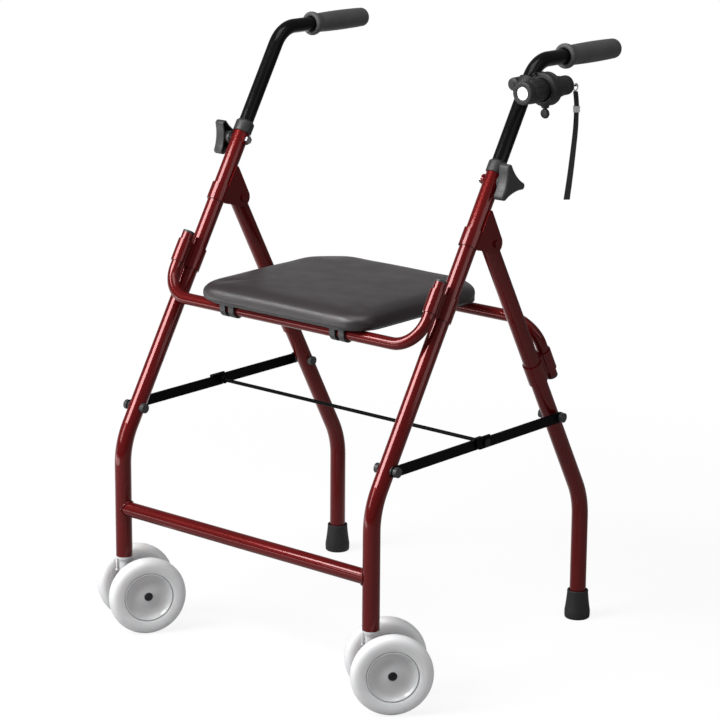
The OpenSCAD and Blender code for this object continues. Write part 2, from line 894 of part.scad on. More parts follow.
module rear_brace() {
    tab_z = brace_z + brace_bar_h / 2 + part_gap;
    color(black)
        difference() {
            union() {
                yz_plate(bar_b, bar_b + brace_bar_t)
                    link_between([brace_mid_y - stop_front + brace_bar_h / 2, brace_z],
                        brace_bar_h / 2, [brace_rear_y, brace_z], brace_bar_h / 2);
                translate([bar_b, brace_mid_y - stop_front, brace_z])
                    cube([brace_bar_t, stop_front + stop_back, tab_z + stop_t - brace_z]);
                translate([bar_a, brace_mid_y - stop_front, tab_z])
                    cube([bar_b + brace_bar_t - bar_a, stop_front - brace_bar_h / 2, stop_t]);
            }
            translate([0, brace_rear_y, brace_z])
                rod_x(brace_bolt_d / 2 + run_clear, bar_b - cut, bar_b + brace_bar_t + cut);
        }
}

module rear_brace_left() {
    left_side() rear_brace();
}

module rear_brace_right() {
    right_side() rear_brace();
}

module rear_brace_rivets() {
    color(dark_grey)
        both_sides()
            translate([0, brace_mid_y, brace_z])
                rod_x(rivet_d / 2, bar_b + brace_bar_t, bar_b + brace_bar_t + rivet_h);
}

// Seat
module cushion_layer(z, inset, h) {
    translate([0, seat_mid_y, z])
        linear_extrude(height = h)
            rounded_rect(seat_w - 2 * inset, seat_depth - 2 * inset, seat_corner_r - inset, $fn = 32);
}

module seat_cushion() {
    skin = 1;
    color(black)
        hull() {
            cushion_layer(cushion_z, board_inset, skin);
            cushion_layer(cushion_z + cushion_t / 3, 0, cushion_t / 6);
            cushion_layer(cushion_z + cushion_t * 5 / 6, cushion_edge * 0.6, skin);
            cushion_layer(cushion_z + cushion_t - skin, cushion_edge * 2, skin);
        }
}

module seat_board() {
    color(black)
        difference() {
            translate([0, seat_mid_y, board_z])
                linear_extrude(height = board_t)
                    rounded_rect(seat_w - 2 * board_inset, seat_depth - 2 * board_inset,
                        seat_corner_r - board_inset);
            seat_screw_places()
                cylinder(d = seat_screw_d, h = board_t - cut);
        }
}

// A flat rest under the board, which lies on the rear seat tube
module seat_rest() {
    color(black)
        translate([0, rear_run_y - rest_w / 2 + seat_tube_r / 4, board_z - rear_tube_below])
            linear_extrude(height = rear_tube_below)
                rounded_rect(rest_len, rest_w, seat_tube_r / 2);
}

// The underside of the board at each screw of the clips
module seat_screw_places() {
    for (x = [-clip_x, clip_x], n = [0, 1])
        translate([x, front_run_y + clip_r + clip_screw_first + n * clip_screw_pitch, board_z])
            children();
}

module seat_clips() {
    color(black)
        difference() {
            for (x = [-clip_x, clip_x])
                translate([x, front_run_y, seat_tube_z])
                    difference() {
                        union() {
                            rod_x(clip_r, -clip_w / 2, clip_w / 2);
                            translate([-clip_w / 2, -clip_r, 0])
                                cube([clip_w, 2 * clip_r, board_z - seat_tube_z]);
                            translate([-clip_w / 2, -clip_r, board_z - seat_tube_z - clip_flange_t])
                                cube([clip_w, clip_r + clip_flange, clip_flange_t]);
                        }
                        rod_x(clip_bore_r, -clip_w, clip_w);
                        translate([-clip_w, -clip_bore_r, 0])
                            cube([2 * clip_w, 2 * clip_bore_r, 2 * clip_r]);
                        translate([-clip_w, -clip_flange, board_z - seat_tube_z])
                            cube([2 * clip_w, 2 * clip_flange, clip_r]);
                        translate([-clip_split / 2, -clip_flange, -clip_r - cut])
                            cube([clip_split, 2 * clip_flange,
                                clip_r + cut + board_z - seat_tube_z - clip_flange_t]);
                    }
            seat_screw_places()
                translate([0, 0, -clip_flange_t - cut])
                    cylinder(d = seat_screw_d, h = clip_flange_t + 2 * cut);
        }
}

module seat_screws() {
    color(steel)
        seat_screw_places() {
            translate([0, 0, -clip_flange_t])
                cylinder(d = seat_screw_d, h = clip_flange_t + board_t - cut);
            translate([0, 0, -clip_flange_t - seat_screw_head_h])
                cylinder(d = seat_screw_head_d, h = seat_screw_head_h);
        }
}

// Handles
module after_handle_bend() {
    at_front(handle_s - handle_tan)
        translate([0, handle_bend_r * (1 - cos(handle_turn)), handle_bend_r * sin(handle_turn)])
            rotate([-handle_turn, 0, 0])
                children();
}

module handle_solid(r, over) {
    at_front(handle_low - over)
        cylinder(r = r, h = handle_s - handle_tan - handle_low + over + bend_lap);
    at_front(handle_s - handle_tan)
        tube_bend(handle_bend_r, handle_turn, r);
    after_handle_bend()
        translate([0, 0, -bend_lap])
            cylinder(r = r, h = handle_reach - handle_tan + over + bend_lap);
}

module handle_tube() {
    color(black)
        difference() {
            handle_solid(handle_r, 0);
            handle_solid(handle_r - handle_wall, cut);
            at_front(bolt_s)
                rod_x(handle_slot_r, -leg_r, leg_r);
            at_front(bolt_s - handle_travel)
                rod_x(handle_slot_r, -leg_r, leg_r);
            at_front(bolt_s - handle_travel)
                translate([-leg_r, -handle_slot_r, 0])
                    cube([leg_d, 2 * handle_slot_r, handle_travel]);
        }
}

module handle_tube_left() {
    left_side() handle_tube();
}

module handle_tube_right() {
    right_side() handle_tube();
}

module grip_profile() {
    flange_w = 7;
    neck_at = 14;
    steps = 8;
    end_r = 8;
    body = [for (i = [0:steps])
        [grip_d / 2 + grip_swell * sin(180 * i / steps),
            neck_at + (grip_len - end_r - neck_at) * i / steps]];
    difference() {
        union() {
            polygon(concat([[0, 0], [grip_d / 2, 0], [grip_d / 2, neck_at]], body,
                [[grip_d / 2, grip_len - end_r], [0, grip_len - end_r]]));
            polygon([[0, 0], [grip_flange_d / 2 - flange_w / 2, 0],
                [grip_flange_d / 2 - flange_w / 2, flange_w],
                [grip_d / 2, neck_at], [0, neck_at]]);
            translate([grip_flange_d / 2 - flange_w / 2, flange_w / 2])
                circle(d = flange_w);
            translate([grip_d / 2 - end_r, grip_len - end_r])
                circle(r = end_r);
            translate([0, grip_len - end_r])
                square([grip_d / 2 - end_r, end_r]);
        }
        translate([-handle_r, -cut])
            square([2 * handle_r, grip_len - grip_end_wall + cut]);
        translate([-grip_flange_d, -cut])
            square([grip_flange_d, grip_len + 2 * cut]);
    }
}

module handle_grip() {
    color([0.1, 0.1, 0.105])
        after_handle_bend()
            translate([0, 0, grip_start - handle_tan])
                rotate_extrude()
                    grip_profile();
}

module handle_grip_left() {
    left_side() handle_grip();
}

module handle_grip_right() {
    right_side() handle_grip();
}

// Knobs: a hollow plate with three lobes, one of them to the back
module knob_outline(lobe_r, scoop_r) {
    lobes = [for (i = [0:2]) [knob_lobe_at * cos(120 * i), knob_lobe_at * sin(120 * i)]];
    scoop_at = knob_lobe_at * cos(60) + knob_lobe_r - knob_scoop + knob_scoop_r;
    difference() {
        union() {
            polygon(lobes);
            for (i = [0:2])
                link_between(lobes[i], lobe_r, lobes[(i + 1) % 3], lobe_r);
        }
        for (i = [0:2])
            rotate(60 + 120 * i)
                translate([scoop_at, 0])
                    circle(r = scoop_r, $fn = 128);
    }
}

module knob(turn) {
    color(black)
        translate([0, bolt_y, bolt_z])
            rotate([turn, 0, 0])
                difference() {
                    union() {
                        difference() {
                            yz_plate(knob_in, knob_out)
                                knob_outline(knob_lobe_r, knob_scoop_r);
                            yz_plate(knob_in - cut, knob_out - knob_skin)
                                knob_outline(knob_lobe_r - knob_wall, knob_scoop_r + knob_wall);
                        }
                        rod_x(knob_hub_d / 2, knob_face + cut, knob_out - cut);
                    }
                    rod_x(insert_d / 2, knob_face, knob_face + insert_len);
                }
}

module knob_insert() {
    color(steel)
        translate([0, bolt_y, bolt_z])
            difference() {
                rod_x(insert_d / 2, knob_face, knob_face + insert_len);
                rod_x(height_bolt_d / 2 + run_clear, knob_face - cut, knob_face + insert_len + cut);
            }
}

module knob_left() {
    left_side() knob(knob_turn_left);
}

module knob_insert_left() {
    left_side() knob_insert();
}

module knob_right() {
    right_side() knob(knob_turn_right);
}

module knob_insert_right() {
    right_side() knob_insert();
}

// Casters: x is along the axle and y is the trail
module at_left_caster() {
    translate([half_x, -half_y, 0])
        rotate([0, 0, -caster_turn_left])
            children();
}

module at_right_caster() {
    translate([-half_x, -half_y, 0])
        rotate([0, 0, -caster_turn_right])
            children();
}

module at_axle() {
    translate([0, caster_trail, axle_z])
        children();
}

module caster_body() {
    color(pale_grey)
        difference() {
            union() {
                translate([0, 0, axle_z])
                    cylinder(d = caster_hub_d, h = caster_top - axle_z);
                at_axle()
                    rod_x(barrel_d / 2, -barrel_half, barrel_half);
                translate([-neck_w / 2, 0, axle_z])
                    cube([neck_w, caster_trail, neck_h]);
            }
            at_axle()
                rod_x(axle_d / 2, -barrel_half - cut, barrel_half + cut);
            translate([0, 0, caster_top - stem_d])
                cylinder(d = stem_d, h = stem_d + cut);
        }
}

module caster_stem() {
    color(steel)
        translate([0, 0, caster_top - stem_d])
            cylinder(d = stem_d, h = front_tube_z + stem_len - caster_top + stem_d);
}

module caster_axle() {
    color(black)
        at_axle() {
            rod_x(axle_d / 2, -axle_half, axle_half);
            rod_x(axle_head_d / 2, -axle_half - axle_head_h, -axle_half);
            rod_x(axle_head_d / 2, axle_half, axle_half + axle_head_h);
        }
}

module caster_body_left() {
    at_left_caster() caster_body();
}

module caster_stem_left() {
    at_left_caster() caster_stem();
}

module caster_axle_left() {
    at_left_caster() caster_axle();
}

module caster_body_right() {
    at_right_caster() caster_body();
}

module caster_stem_right() {
    at_right_caster() caster_stem();
}

module caster_axle_right() {
    at_right_caster() caster_axle();
}

module at_wheel(side) {
    at_axle()
        translate([side * wheel_track / 2, 0, 0])
            rotate([0, side * 90, 0])
                children();
}

// The outer face is dished towards the hub, and the inner face is flat
module wheel_core() {
    hub_r = wheel_hub_d / 2;
    rim_r = wheel_core_d / 2;
    bore_r = axle_d / 2 + run_clear;
    face = wheel_w / 2;
    color(pale_grey)
        rotate_extrude()
            polygon([[bore_r, -face], [hub_r, -face], [hub_r, wheel_dish - face],
                [rim_r, wheel_dish - face], [rim_r, face - wheel_seam],
                [rim_r * 0.75, face - wheel_dish * 0.6], [hub_r, face - wheel_dish],
                [bore_r, face - wheel_dish]]);
}

module tyre() {
    rim_r = wheel_core_d / 2;
    tread_r = wheel_d / 2;
    color(pale_grey)
        rotate_extrude() {
            translate([rim_r, -wheel_w / 2])
                square([tread_r - tyre_round - rim_r, wheel_w]);
            translate([rim_r, -tyre_tread / 2])
                square([tread_r - rim_r, tyre_tread]);
            for (side = [-1, 1])
                translate([tread_r - tyre_round, side * tyre_tread / 2])
                    circle(r = tyre_round);
        }
}

module wheel_left_outer() {
    at_left_caster() at_wheel(1) wheel_core();
}

module tyre_left_outer() {
    at_left_caster() at_wheel(1) tyre();
}

module wheel_left_inner() {
    at_left_caster() at_wheel(-1) wheel_core();
}

module tyre_left_inner() {
    at_left_caster() at_wheel(-1) tyre();
}

module wheel_right_inner() {
    at_right_caster() at_wheel(1) wheel_core();
}

module tyre_right_inner() {
    at_right_caster() at_wheel(1) tyre();
}

module wheel_right_outer() {
    at_right_caster() at_wheel(-1) wheel_core();
}

module tyre_right_outer() {
    at_right_caster() at_wheel(-1) tyre();
}

// Torch: its own frame has z along the torch, from the lens to the tail
module at_torch() {
    translate([torch_x, torch_y - torch_front, torch_z])
        rotate([-90, 0, 0])
            children();
}

module torch_clamp() {
    color(black)
        left_side() {
            difference() {
                union() {
                    at_front(torch_s - band_len / 2)
                        cylinder(r = handle_r + band_wall, h = band_len);
                    translate([-clamp_lug_at, torch_y - band_len / 2, torch_z])
                        rotate([-90, 0, 0])
                            cylinder(d = clamp_lug_d, h = band_len);
                    translate([0, torch_y, torch_z])
                        rod_x(boss_d / 2, 0, clamp_face);
                    translate([0, torch_y, torch_z])
                        rod_x(tilt_pin_d / 2, 0, clamp_face + tilt_pin_len);
                }
                at_front(torch_s - leg_d)
                    cylinder(r = handle_r, h = 2 * leg_d);
            }
        }
}

module torch_holder() {
    inner = half_x + clamp_face + part_gap;
    color(black)
        difference() {
            union() {
                translate([torch_x, torch_y - holder_ahead, torch_z])
                    rotate([-90, 0, 0])
                        cylinder(d = holder_d, h = holder_len);
                translate([0, torch_y, torch_z])
                    rod_x(boss_d / 2, inner, torch_x);
                translate([torch_x, thumb_y, torch_z - holder_d / 2 - thumb_len / 2])
                    cylinder(d = 2 * thumb_d, h = holder_d / 2);
            }
            translate([torch_x, torch_y - 2 * holder_len, torch_z])
                rotate([-90, 0, 0])
                    cylinder(d = torch_d, h = 4 * holder_len);
            translate([0, torch_y, torch_z])
                rod_x(tilt_pin_d / 2 + run_clear, inner - cut,
                    half_x + clamp_face + tilt_pin_len + part_gap);
            translate([torch_x, thumb_y, torch_z - holder_d])
                cylinder(d = thumb_d + 2 * run_clear, h = holder_d);
        }
}

module torch_thumb_screw() {
    top = torch_z - holder_d / 2 - thumb_len / 2;
    color(black)
        translate([torch_x, thumb_y, 0]) {
            translate([0, 0, top - thumb_len])
                cylinder(d = thumb_d, h = thumb_len + thumb_len);
            translate([0, -paddle_t / 2, top - part_gap - thumb_len / 2 - paddle_w / 2])
                rotate([-90, 0, 0])
                    cylinder(d = paddle_w, h = paddle_t);
            translate([0, 0, top - part_gap - thumb_len / 2])
                cylinder(d = thumb_d + 3, h = thumb_len / 2);
        }
}

module torch_body() {
    color(black) {
        at_torch()
            difference() {
                union() {
                    cylinder(d = torch_head_d, h = torch_head_len);
                    cylinder(d = torch_d, h = torch_len - torch_tail_len);
                    cylinder(d = torch_tail_d, h = torch_len);
                }
                translate([0, 0, -cut])
                    cylinder(d = lens_d, h = cut + lens_deep + lens_t);
                translate([0, 0, torch_len - switch_deep])
                    cylinder(r = switch_d / 2 + run_clear, h = switch_deep + cut);
            }
        translate([eye_x, eye_y, eye_z])
            intersection() {
                ring_wire_at(eye_r);
                translate([-leg_d, -eye_gap - ring_wire / 2, -leg_d])
                    cube([2 * leg_d, leg_d, 2 * leg_d]);
            }
    }
}

module ring_wire_at(r) {
    rotate_extrude()
        translate([r, 0])
            circle(d = ring_wire);
}

module torch_lens() {
    color([0.95, 0.96, 0.98])
        at_torch()
            translate([0, 0, lens_deep])
                cylinder(d = lens_d, h = lens_t);
}

module torch_switch() {
    color(dark_grey)
        at_torch()
            translate([0, 0, torch_len - switch_deep + switch_travel + part_gap])
                cylinder(d = switch_d, h = switch_deep - switch_travel - part_gap + switch_h);
}

module strap_fittings() {
    color(pale_grey)
        translate([eye_x, ring_y, ring_z])
            rotate([0, 90, 0])
                ring_wire_at(ring_r);
    color(steel)
        translate([strap_points[2][0], strap_points[2][1], strap_top - crimp_drop - crimp_len / 2])
            rotate([0, 0, strap_turn])
                difference() {
                    translate([0, 0, crimp_len / 2])
                        cube([strap_w + 2 * crimp_wall + part_gap, strap_t + 2 * crimp_wall + 1,
                            crimp_len], center = true);
                    translate([0, 0, crimp_len / 2])
                        cube([strap_w + part_gap, strap_t + 1, crimp_len + 2 * cut], center = true);
                }
}

// One ring of the strap's outline at a point of its route
function strap_ring(p) = [for (i = [0:7])
    let (u = strap_w / 2 * cos(45 * i + 22.5) / cos(22.5),
        v = strap_t / 2 * sin(45 * i + 22.5) / cos(22.5))
    [p[0] + u * cos(strap_turn) - v * sin(strap_turn),
        p[1] + u * sin(strap_turn) + v * cos(strap_turn), p[2]]];

module torch_strap() {
    n = len(strap_points);
    rings = [for (p = strap_points) each strap_ring(p)];
    walls = [for (k = [0:n - 2], i = [0:7])
        [8 * k + i, 8 * k + (i + 1) % 8, 8 * k + 8 + (i + 1) % 8, 8 * k + 8 + i]];
    top = [for (i = [0:7]) 7 - i];
    bottom = [for (i = [0:7]) 8 * (n - 1) + i];
    color(black)
        polyhedron(points = rings, faces = concat([top], walls, [bottom]));
}

front_leg_left();
front_leg_right();
front_cross_tube();
front_seat_tube();
front_seat_straps();
front_tube_plugs();
hinge_brackets();
hinge_bolts();
leg_collars();
height_bolts();
front_brace_bolts();
caster_sleeves();
rear_leg_left();
rear_leg_right();
rear_seat_tube();
rear_seat_straps();
rear_tube_plugs();
rear_feet();
rear_brace_bolts();
front_brace_left();
front_brace_right();
brace_cross_rod();
rear_brace_left();
rear_brace_right();
rear_brace_rivets();
seat_cushion();
seat_board();
seat_rest();
seat_clips();
seat_screws();
handle_tube_left();
handle_grip_left();
handle_tube_right();
handle_grip_right();
knob_left();
knob_insert_left();
knob_right();
knob_insert_right();
caster_body_left();
caster_stem_left();
caster_axle_left();
caster_body_right();
caster_stem_right();
caster_axle_right();
wheel_left_outer();
tyre_left_outer();
wheel_left_inner();
tyre_left_inner();
wheel_right_inner();
tyre_right_inner();
wheel_right_outer();
tyre_right_outer();
torch_clamp();
torch_holder();
torch_thumb_screw();
torch_body();
torch_lens();
torch_switch();
strap_fittings();
torch_strap();
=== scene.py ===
import json
import math

import bmesh
import bpy
from mathutils import Matrix, Vector


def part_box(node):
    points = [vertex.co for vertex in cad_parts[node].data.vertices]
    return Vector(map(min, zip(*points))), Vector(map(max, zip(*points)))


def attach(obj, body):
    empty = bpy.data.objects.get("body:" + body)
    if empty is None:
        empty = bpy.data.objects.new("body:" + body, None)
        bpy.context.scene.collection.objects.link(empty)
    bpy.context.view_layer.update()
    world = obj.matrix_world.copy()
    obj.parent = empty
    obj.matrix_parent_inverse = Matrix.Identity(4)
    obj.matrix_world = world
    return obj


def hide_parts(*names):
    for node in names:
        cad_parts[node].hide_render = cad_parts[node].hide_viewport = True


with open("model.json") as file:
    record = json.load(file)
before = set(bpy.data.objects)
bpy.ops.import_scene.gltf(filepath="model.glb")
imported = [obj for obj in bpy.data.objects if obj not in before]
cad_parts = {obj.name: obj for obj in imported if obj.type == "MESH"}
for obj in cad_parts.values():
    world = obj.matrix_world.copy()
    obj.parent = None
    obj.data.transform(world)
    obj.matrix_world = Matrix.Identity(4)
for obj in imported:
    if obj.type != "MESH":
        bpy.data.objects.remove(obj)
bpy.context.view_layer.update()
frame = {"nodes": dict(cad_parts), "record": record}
nodes = frame["nodes"]
scene = bpy.context.scene
scene.view_settings.view_transform = "Standard"

# Sizes from the part's source, in metres
MM = 0.001
HALF_X = 217.5 * MM
HALF_Y = 218.5 * MM
FRONT_LEAN = math.radians(31.1)
FRONT_BEND_Z = 256.5 * MM
LEG_R = 11.1 * MM
LEG_END_Z = 101.0 * MM
CROSS_Z = 168.0 * MM
CROSS_R = 10.0 * MM

# Camera: fitted to the photo
FORWARD = Vector((-0.628, 0.7356, -0.2542)).normalized()
RIGHT = Vector((0.7356, 0.628, 0.0)).normalized()
UP = RIGHT.cross(FORWARD)
ROLL = math.radians(0.41)
CAM_X = RIGHT * math.cos(ROLL) + UP * math.sin(ROLL)
CAM_Y = UP * math.cos(ROLL) - RIGHT * math.sin(ROLL)
CAM_AT = Vector((2385.7, -2782.8, 1331.2)) * MM
SENSOR_WIDTH, FOCAL_LENGTH = 36.0, 142.6
camera_data = bpy.data.cameras.new("camera")
camera_data.sensor_width = SENSOR_WIDTH
camera_data.lens = FOCAL_LENGTH
camera = bpy.data.objects.new("camera", camera_data)
scene.collection.objects.link(camera)
camera.matrix_world = Matrix((
    (CAM_X.x, CAM_Y.x, -FORWARD.x, CAM_AT.x),
    (CAM_X.y, CAM_Y.y, -FORWARD.y, CAM_AT.y),
    (CAM_X.z, CAM_Y.z, -FORWARD.z, CAM_AT.z),
    (0.0, 0.0, 0.0, 1.0)))
scene.camera = camera


# Materials
def principled(name, **sockets):
    """A new material, its node tree and its shader, with values set on the shader's sockets."""
    mat = bpy.data.materials.new(name)
    mat.use_nodes = True
    bsdf = mat.node_tree.nodes["Principled BSDF"]
    for key, value in sockets.items():
        bsdf.inputs[key.replace("_", " ")].default_value = value
    return mat, mat.node_tree, bsdf


def add(tree, kind, **values):
    """A new node, with each value set as its property or on the input of that name."""
    node = tree.nodes.new(kind)
    for key, value in values.items():
        if hasattr(node, key):
            setattr(node, key, value)
        else:
            node.inputs[key.replace("_", " ")].default_value = value
    return node


def place(tree):
    """Where a point is on its object."""
    return add(tree, "ShaderNodeTexCoord").outputs["Object"]


def noise(tree, scale, detail=4.0):
    node = add(tree, "ShaderNodeTexNoise", Scale=scale, Detail=detail)
    tree.links.new(place(tree), node.inputs["Vector"])
    return node.outputs["Fac"]


def cells(tree, scale, feature="F1"):
    node = add(tree, "ShaderNodeTexVoronoi", feature=feature, Scale=scale)
    tree.links.new(place(tree), node.inputs["Vector"])
    return node.outputs["Distance"]


def span(tree, source, low, high, from_low=0.3, from_high=0.7):
    """A source's values from one range taken to another."""
    node = add(tree, "ShaderNodeMapRange")
    node.inputs["From Min"].default_value = from_low
    node.inputs["From Max"].default_value = from_high
    node.inputs["To Min"].default_value = low
    node.inputs["To Max"].default_value = high
    tree.links.new(source, node.inputs["Value"])
    return node.outputs["Result"]


def ramp(tree, source, dark, light, low=0.3, high=0.7):
    """A source's values taken to colours between dark and light."""
    node = add(tree, "ShaderNodeValToRGB")
    node.color_ramp.elements[0].position = low
    node.color_ramp.elements[0].color = (*dark, 1.0)
    node.color_ramp.elements[1].position = high
    node.color_ramp.elements[1].color = (*light, 1.0)
    tree.links.new(source, node.inputs["Fac"])
    return node.outputs["Color"]


def bump(tree, bsdf, source, strength, distance):
    node = add(tree, "ShaderNodeBump", Strength=strength, Distance=distance)
    tree.links.new(source, node.inputs["Height"])
    tree.links.new(node.outputs["Normal"], bsdf.inputs["Normal"])


GLOSS_SCALE, GLOSS_DETAIL = 3.1, 6.0


def surface(name, dark, light, rough, tone_scale, grain_scale, grain, depth, **sockets):
    """A moulded, painted or rubber surface: slow colour change, uneven gloss and fine grain."""
    mat, tree, bsdf = principled(name, **sockets)
    link = tree.links.new
    link(ramp(tree, noise(tree, tone_scale), dark, light), bsdf.inputs["Base Color"])
    patches = noise(tree, tone_scale * GLOSS_SCALE, GLOSS_DETAIL)
    link(span(tree, patches, rough[0], rough[1]), bsdf.inputs["Roughness"])
    bump(tree, bsdf, noise(tree, grain_scale, 3.0), grain, depth)
    return mat


def paint_red():
    """Dark metallic red under a thin clear coat."""
    mat, tree, bsdf = principled("red_paint", Metallic=0.25, Specular_IOR_Level=0.14,
                                 Specular_Tint=(0.60, 0.16, 0.15, 1.0),
                                 Coat_Weight=0.48, Coat_Roughness=0.07)
    link = tree.links.new
    slow = ramp(tree, noise(tree, 11.0), (0.090, 0.0037, 0.0039), (0.114, 0.0045, 0.0047))
    link(slow, bsdf.inputs["Base Color"])
    link(span(tree, noise(tree, 16.0, 2.0), 0.21, 0.26), bsdf.inputs["Roughness"])
    bump(tree, bsdf, noise(tree, 90.0, 2.0), 0.006, 0.0003)
    return mat


def vinyl():
    """Dark vinyl with a fine pebbled grain."""
    mat, tree, bsdf = principled("seat_vinyl", Specular_IOR_Level=0.55, Sheen_Weight=0.03)
    link = tree.links.new
    tone = ramp(tree, noise(tree, 9.0), (0.0170, 0.0130, 0.0144), (0.0220, 0.0172, 0.0188))
    link(tone, bsdf.inputs["Base Color"])
    link(span(tree, noise(tree, 38.0, 6.0), 0.38, 0.46), bsdf.inputs["Roughness"])
    grain = add(tree, "ShaderNodeMath", operation="ADD")
    pebbles = span(tree, cells(tree, 900.0, "DISTANCE_TO_EDGE"), 0.0, 1.0, 0.0, 0.18)
    link(pebbles, grain.inputs[0])
    link(noise(tree, 120.0, 4.0), grain.inputs[1])
    bump(tree, bsdf, grain.outputs[0], 0.16, 0.0004)
    return mat


def tape():
    """Woven tape: ribs one way crossed by finer ones."""
    mat, tree, bsdf = principled("strap_tape", Sheen_Weight=0.1)
    link = tree.links.new
    weave = add(tree, "ShaderNodeTexWave", wave_type="BANDS", bands_direction="Z", Scale=260.0)
    weave.inputs["Distortion"].default_value = 1.2
    link(place(tree), weave.inputs["Vector"])
    cross = add(tree, "ShaderNodeTexWave", wave_type="BANDS", bands_direction="DIAGONAL",
                Scale=420.0)
    link(place(tree), cross.inputs["Vector"])
    both = add(tree, "ShaderNodeMath", operation="MULTIPLY")
    link(weave.outputs["Fac"], both.inputs[0])
    link(cross.outputs["Fac"], both.inputs[1])
    tone = ramp(tree, both.outputs[0], (0.005, 0.005, 0.006), (0.014, 0.014, 0.016), 0.1, 0.9)
    link(tone, bsdf.inputs["Base Color"])
    link(span(tree, both.outputs[0], 0.7, 0.9, 0.0, 1.0), bsdf.inputs["Roughness"])
    bump(tree, bsdf, both.outputs[0], 0.5, 0.0004)
    return mat


def metal(name, dark, light, rough, brush):
    """Bare or blackened metal with fine uneven gloss."""
    mat, tree, bsdf = principled(name, Metallic=1.0)
    link = tree.links.new
    link(ramp(tree, noise(tree, 40.0), dark, light), bsdf.inputs["Base Color"])
    link(span(tree, noise(tree, brush, 6.0), rough[0], rough[1]), bsdf.inputs["Roughness"])
    bump(tree, bsdf, noise(tree, brush * 2.0, 3.0), 0.08, 0.0002)
    return mat


def lens_with_painted_glow():
    """A clear window over a bright reflector, with a faint painted glow: emission in place of light
    caught by the reflector.
    """
    mat, tree, bsdf = principled("lens", Coat_Weight=0.6, Coat_Roughness=0.04,
                                 Emission_Strength=0.35)
    link = tree.links.new
    tone = ramp(tree, cells(tree, 420.0), (0.95, 0.96, 0.97), (0.80, 0.82, 0.84), 0.0, 0.6)
    link(tone, bsdf.inputs["Base Color"])
    # Painted light: the lens emits its own tone, a glow standing in for the lit reflector
    link(tone, bsdf.inputs["Emission Color"])
    link(span(tree, noise(tree, 300.0), 0.10, 0.18), bsdf.inputs["Roughness"])
    bump(tree, bsdf, cells(tree, 420.0), 0.08, 0.0003)
    return mat


MATS = {
    "red_paint": paint_red(),
    "black_paint": surface("black_paint", (0.0025, 0.0025, 0.0028), (0.0045, 0.0045, 0.005),
                           (0.11, 0.17), 14.0, 120.0, 0.01, 0.0003, Specular_IOR_Level=0.16),
    "dark_steel": metal("dark_steel", (0.020, 0.020, 0.022), (0.045, 0.045, 0.048),
                        (0.32, 0.46), 300.0),
    "steel": metal("steel", (0.40, 0.40, 0.41), (0.55, 0.55, 0.56), (0.24, 0.40), 320.0),
    "grey_plastic": surface("grey_plastic", (0.022, 0.022, 0.023), (0.034, 0.034, 0.036),
                            (0.36, 0.48), 30.0, 900.0, 0.10, 0.0003, Specular_IOR_Level=0.35),
    "black_plastic": surface("black_plastic", (0.029, 0.029, 0.0295), (0.040, 0.040, 0.041),
                             (0.34, 0.46), 26.0, 1100.0, 0.12, 0.0003, Specular_IOR_Level=0.35),
    "pale_plastic": surface("pale_plastic", (0.57, 0.565, 0.57), (0.61, 0.605, 0.61),
                            (0.18, 0.26), 9.0, 700.0, 0.04, 0.0003, Subsurface_Weight=0.05),
    "pale_tyre": surface("pale_tyre", (0.71, 0.71, 0.715), (0.75, 0.75, 0.755),
                         (0.28, 0.38), 9.0, 620.0, 0.05, 0.0003, Subsurface_Weight=0.05),
    "foot_rubber": surface("foot_rubber", (0.008, 0.008, 0.0085), (0.014, 0.014, 0.015),
                           (0.56, 0.70), 34.0, 1300.0, 0.20, 0.0003, Specular_IOR_Level=0.35),
    "grip_rubber": surface("grip_rubber", (0.056, 0.056, 0.0565), (0.072, 0.072, 0.073),
                           (0.50, 0.62), 40.0, 1700.0, 0.30, 0.0003, Specular_IOR_Level=0.35),
    "seat_vinyl": vinyl(),
    "torch_plastic": surface("torch_plastic", (0.010, 0.010, 0.0105), (0.017, 0.017, 0.018),
                             (0.40, 0.52), 40.0, 1500.0, 0.12, 0.0003, Specular_IOR_Level=0.35),
    "torch_rubber": surface("torch_rubber", (0.012, 0.012, 0.013), (0.022, 0.022, 0.023),
                            (0.55, 0.7), 60.0, 1800.0, 0.2, 0.0003),
    # The lens finish carries a painted glow
    "lens": lens_with_painted_glow(),
    "strap_metal": surface("strap_metal", (0.66, 0.66, 0.67), (0.80, 0.80, 0.81),
                           (0.22, 0.34), 420.0, 840.0, 0.08, 0.0002, Metallic=0.4),
    "strap_tape": tape(),
}
BARS = ("front_brace_left", "front_brace_right", "rear_brace_left", "rear_brace_right",
        "brace_cross_rod")
BAR_PAINT = surface("bar_paint", (0.0016, 0.0016, 0.0018), (0.003, 0.003, 0.0033), (0.30, 0.40),
                    16.0, 500.0, 0.05, 0.0003, Specular_IOR_Level=0.04)
OWN_FINISH = {node: BAR_PAINT for node in BARS}
OWN_FINISH["hinge_bolts"] = MATS["red_paint"]
for part in frame["record"]["subparts"]:
    mesh = nodes[part["node"]].data
    mesh.materials.clear()
    mesh.materials.append(OWN_FINISH.get(part["node"], MATS[part["material_slot"]]))

# Stage and light. BACKDROP points away from the camera, ACROSS to its right
BACKDROP = (-0.645, 0.755, -0.12)
ACROSS = (0.755, 0.645, 0.0)
FLOOR_HALF = 30.0
FLOOR_LIT, FLOOR_PLAIN = 0.92, 0.40
SHADOW_NEAR, SHADOW_FAR = 0.45, 1.3
SHADOW_LIFT = 0.88
ROOM_LEVEL = 0.20
LAMPS_AIM = Vector((0.0, 0.0, 0.42))


def shown_to_eye(tree):
    """Two factors: what the eye sees directly, and what it sees in a mirror or through glass."""
    path = add(tree, "ShaderNodeLightPath")
    mirrored = add(tree, "ShaderNodeMath", operation="ADD", use_clamp=True)
    tree.links.new(path.outputs["Is Glossy Ray"], mirrored.inputs[0])
    tree.links.new(path.outputs["Is Transmission Ray"], mirrored.inputs[1])
    return path.outputs["Is Camera Ray"], mirrored.outputs[0]


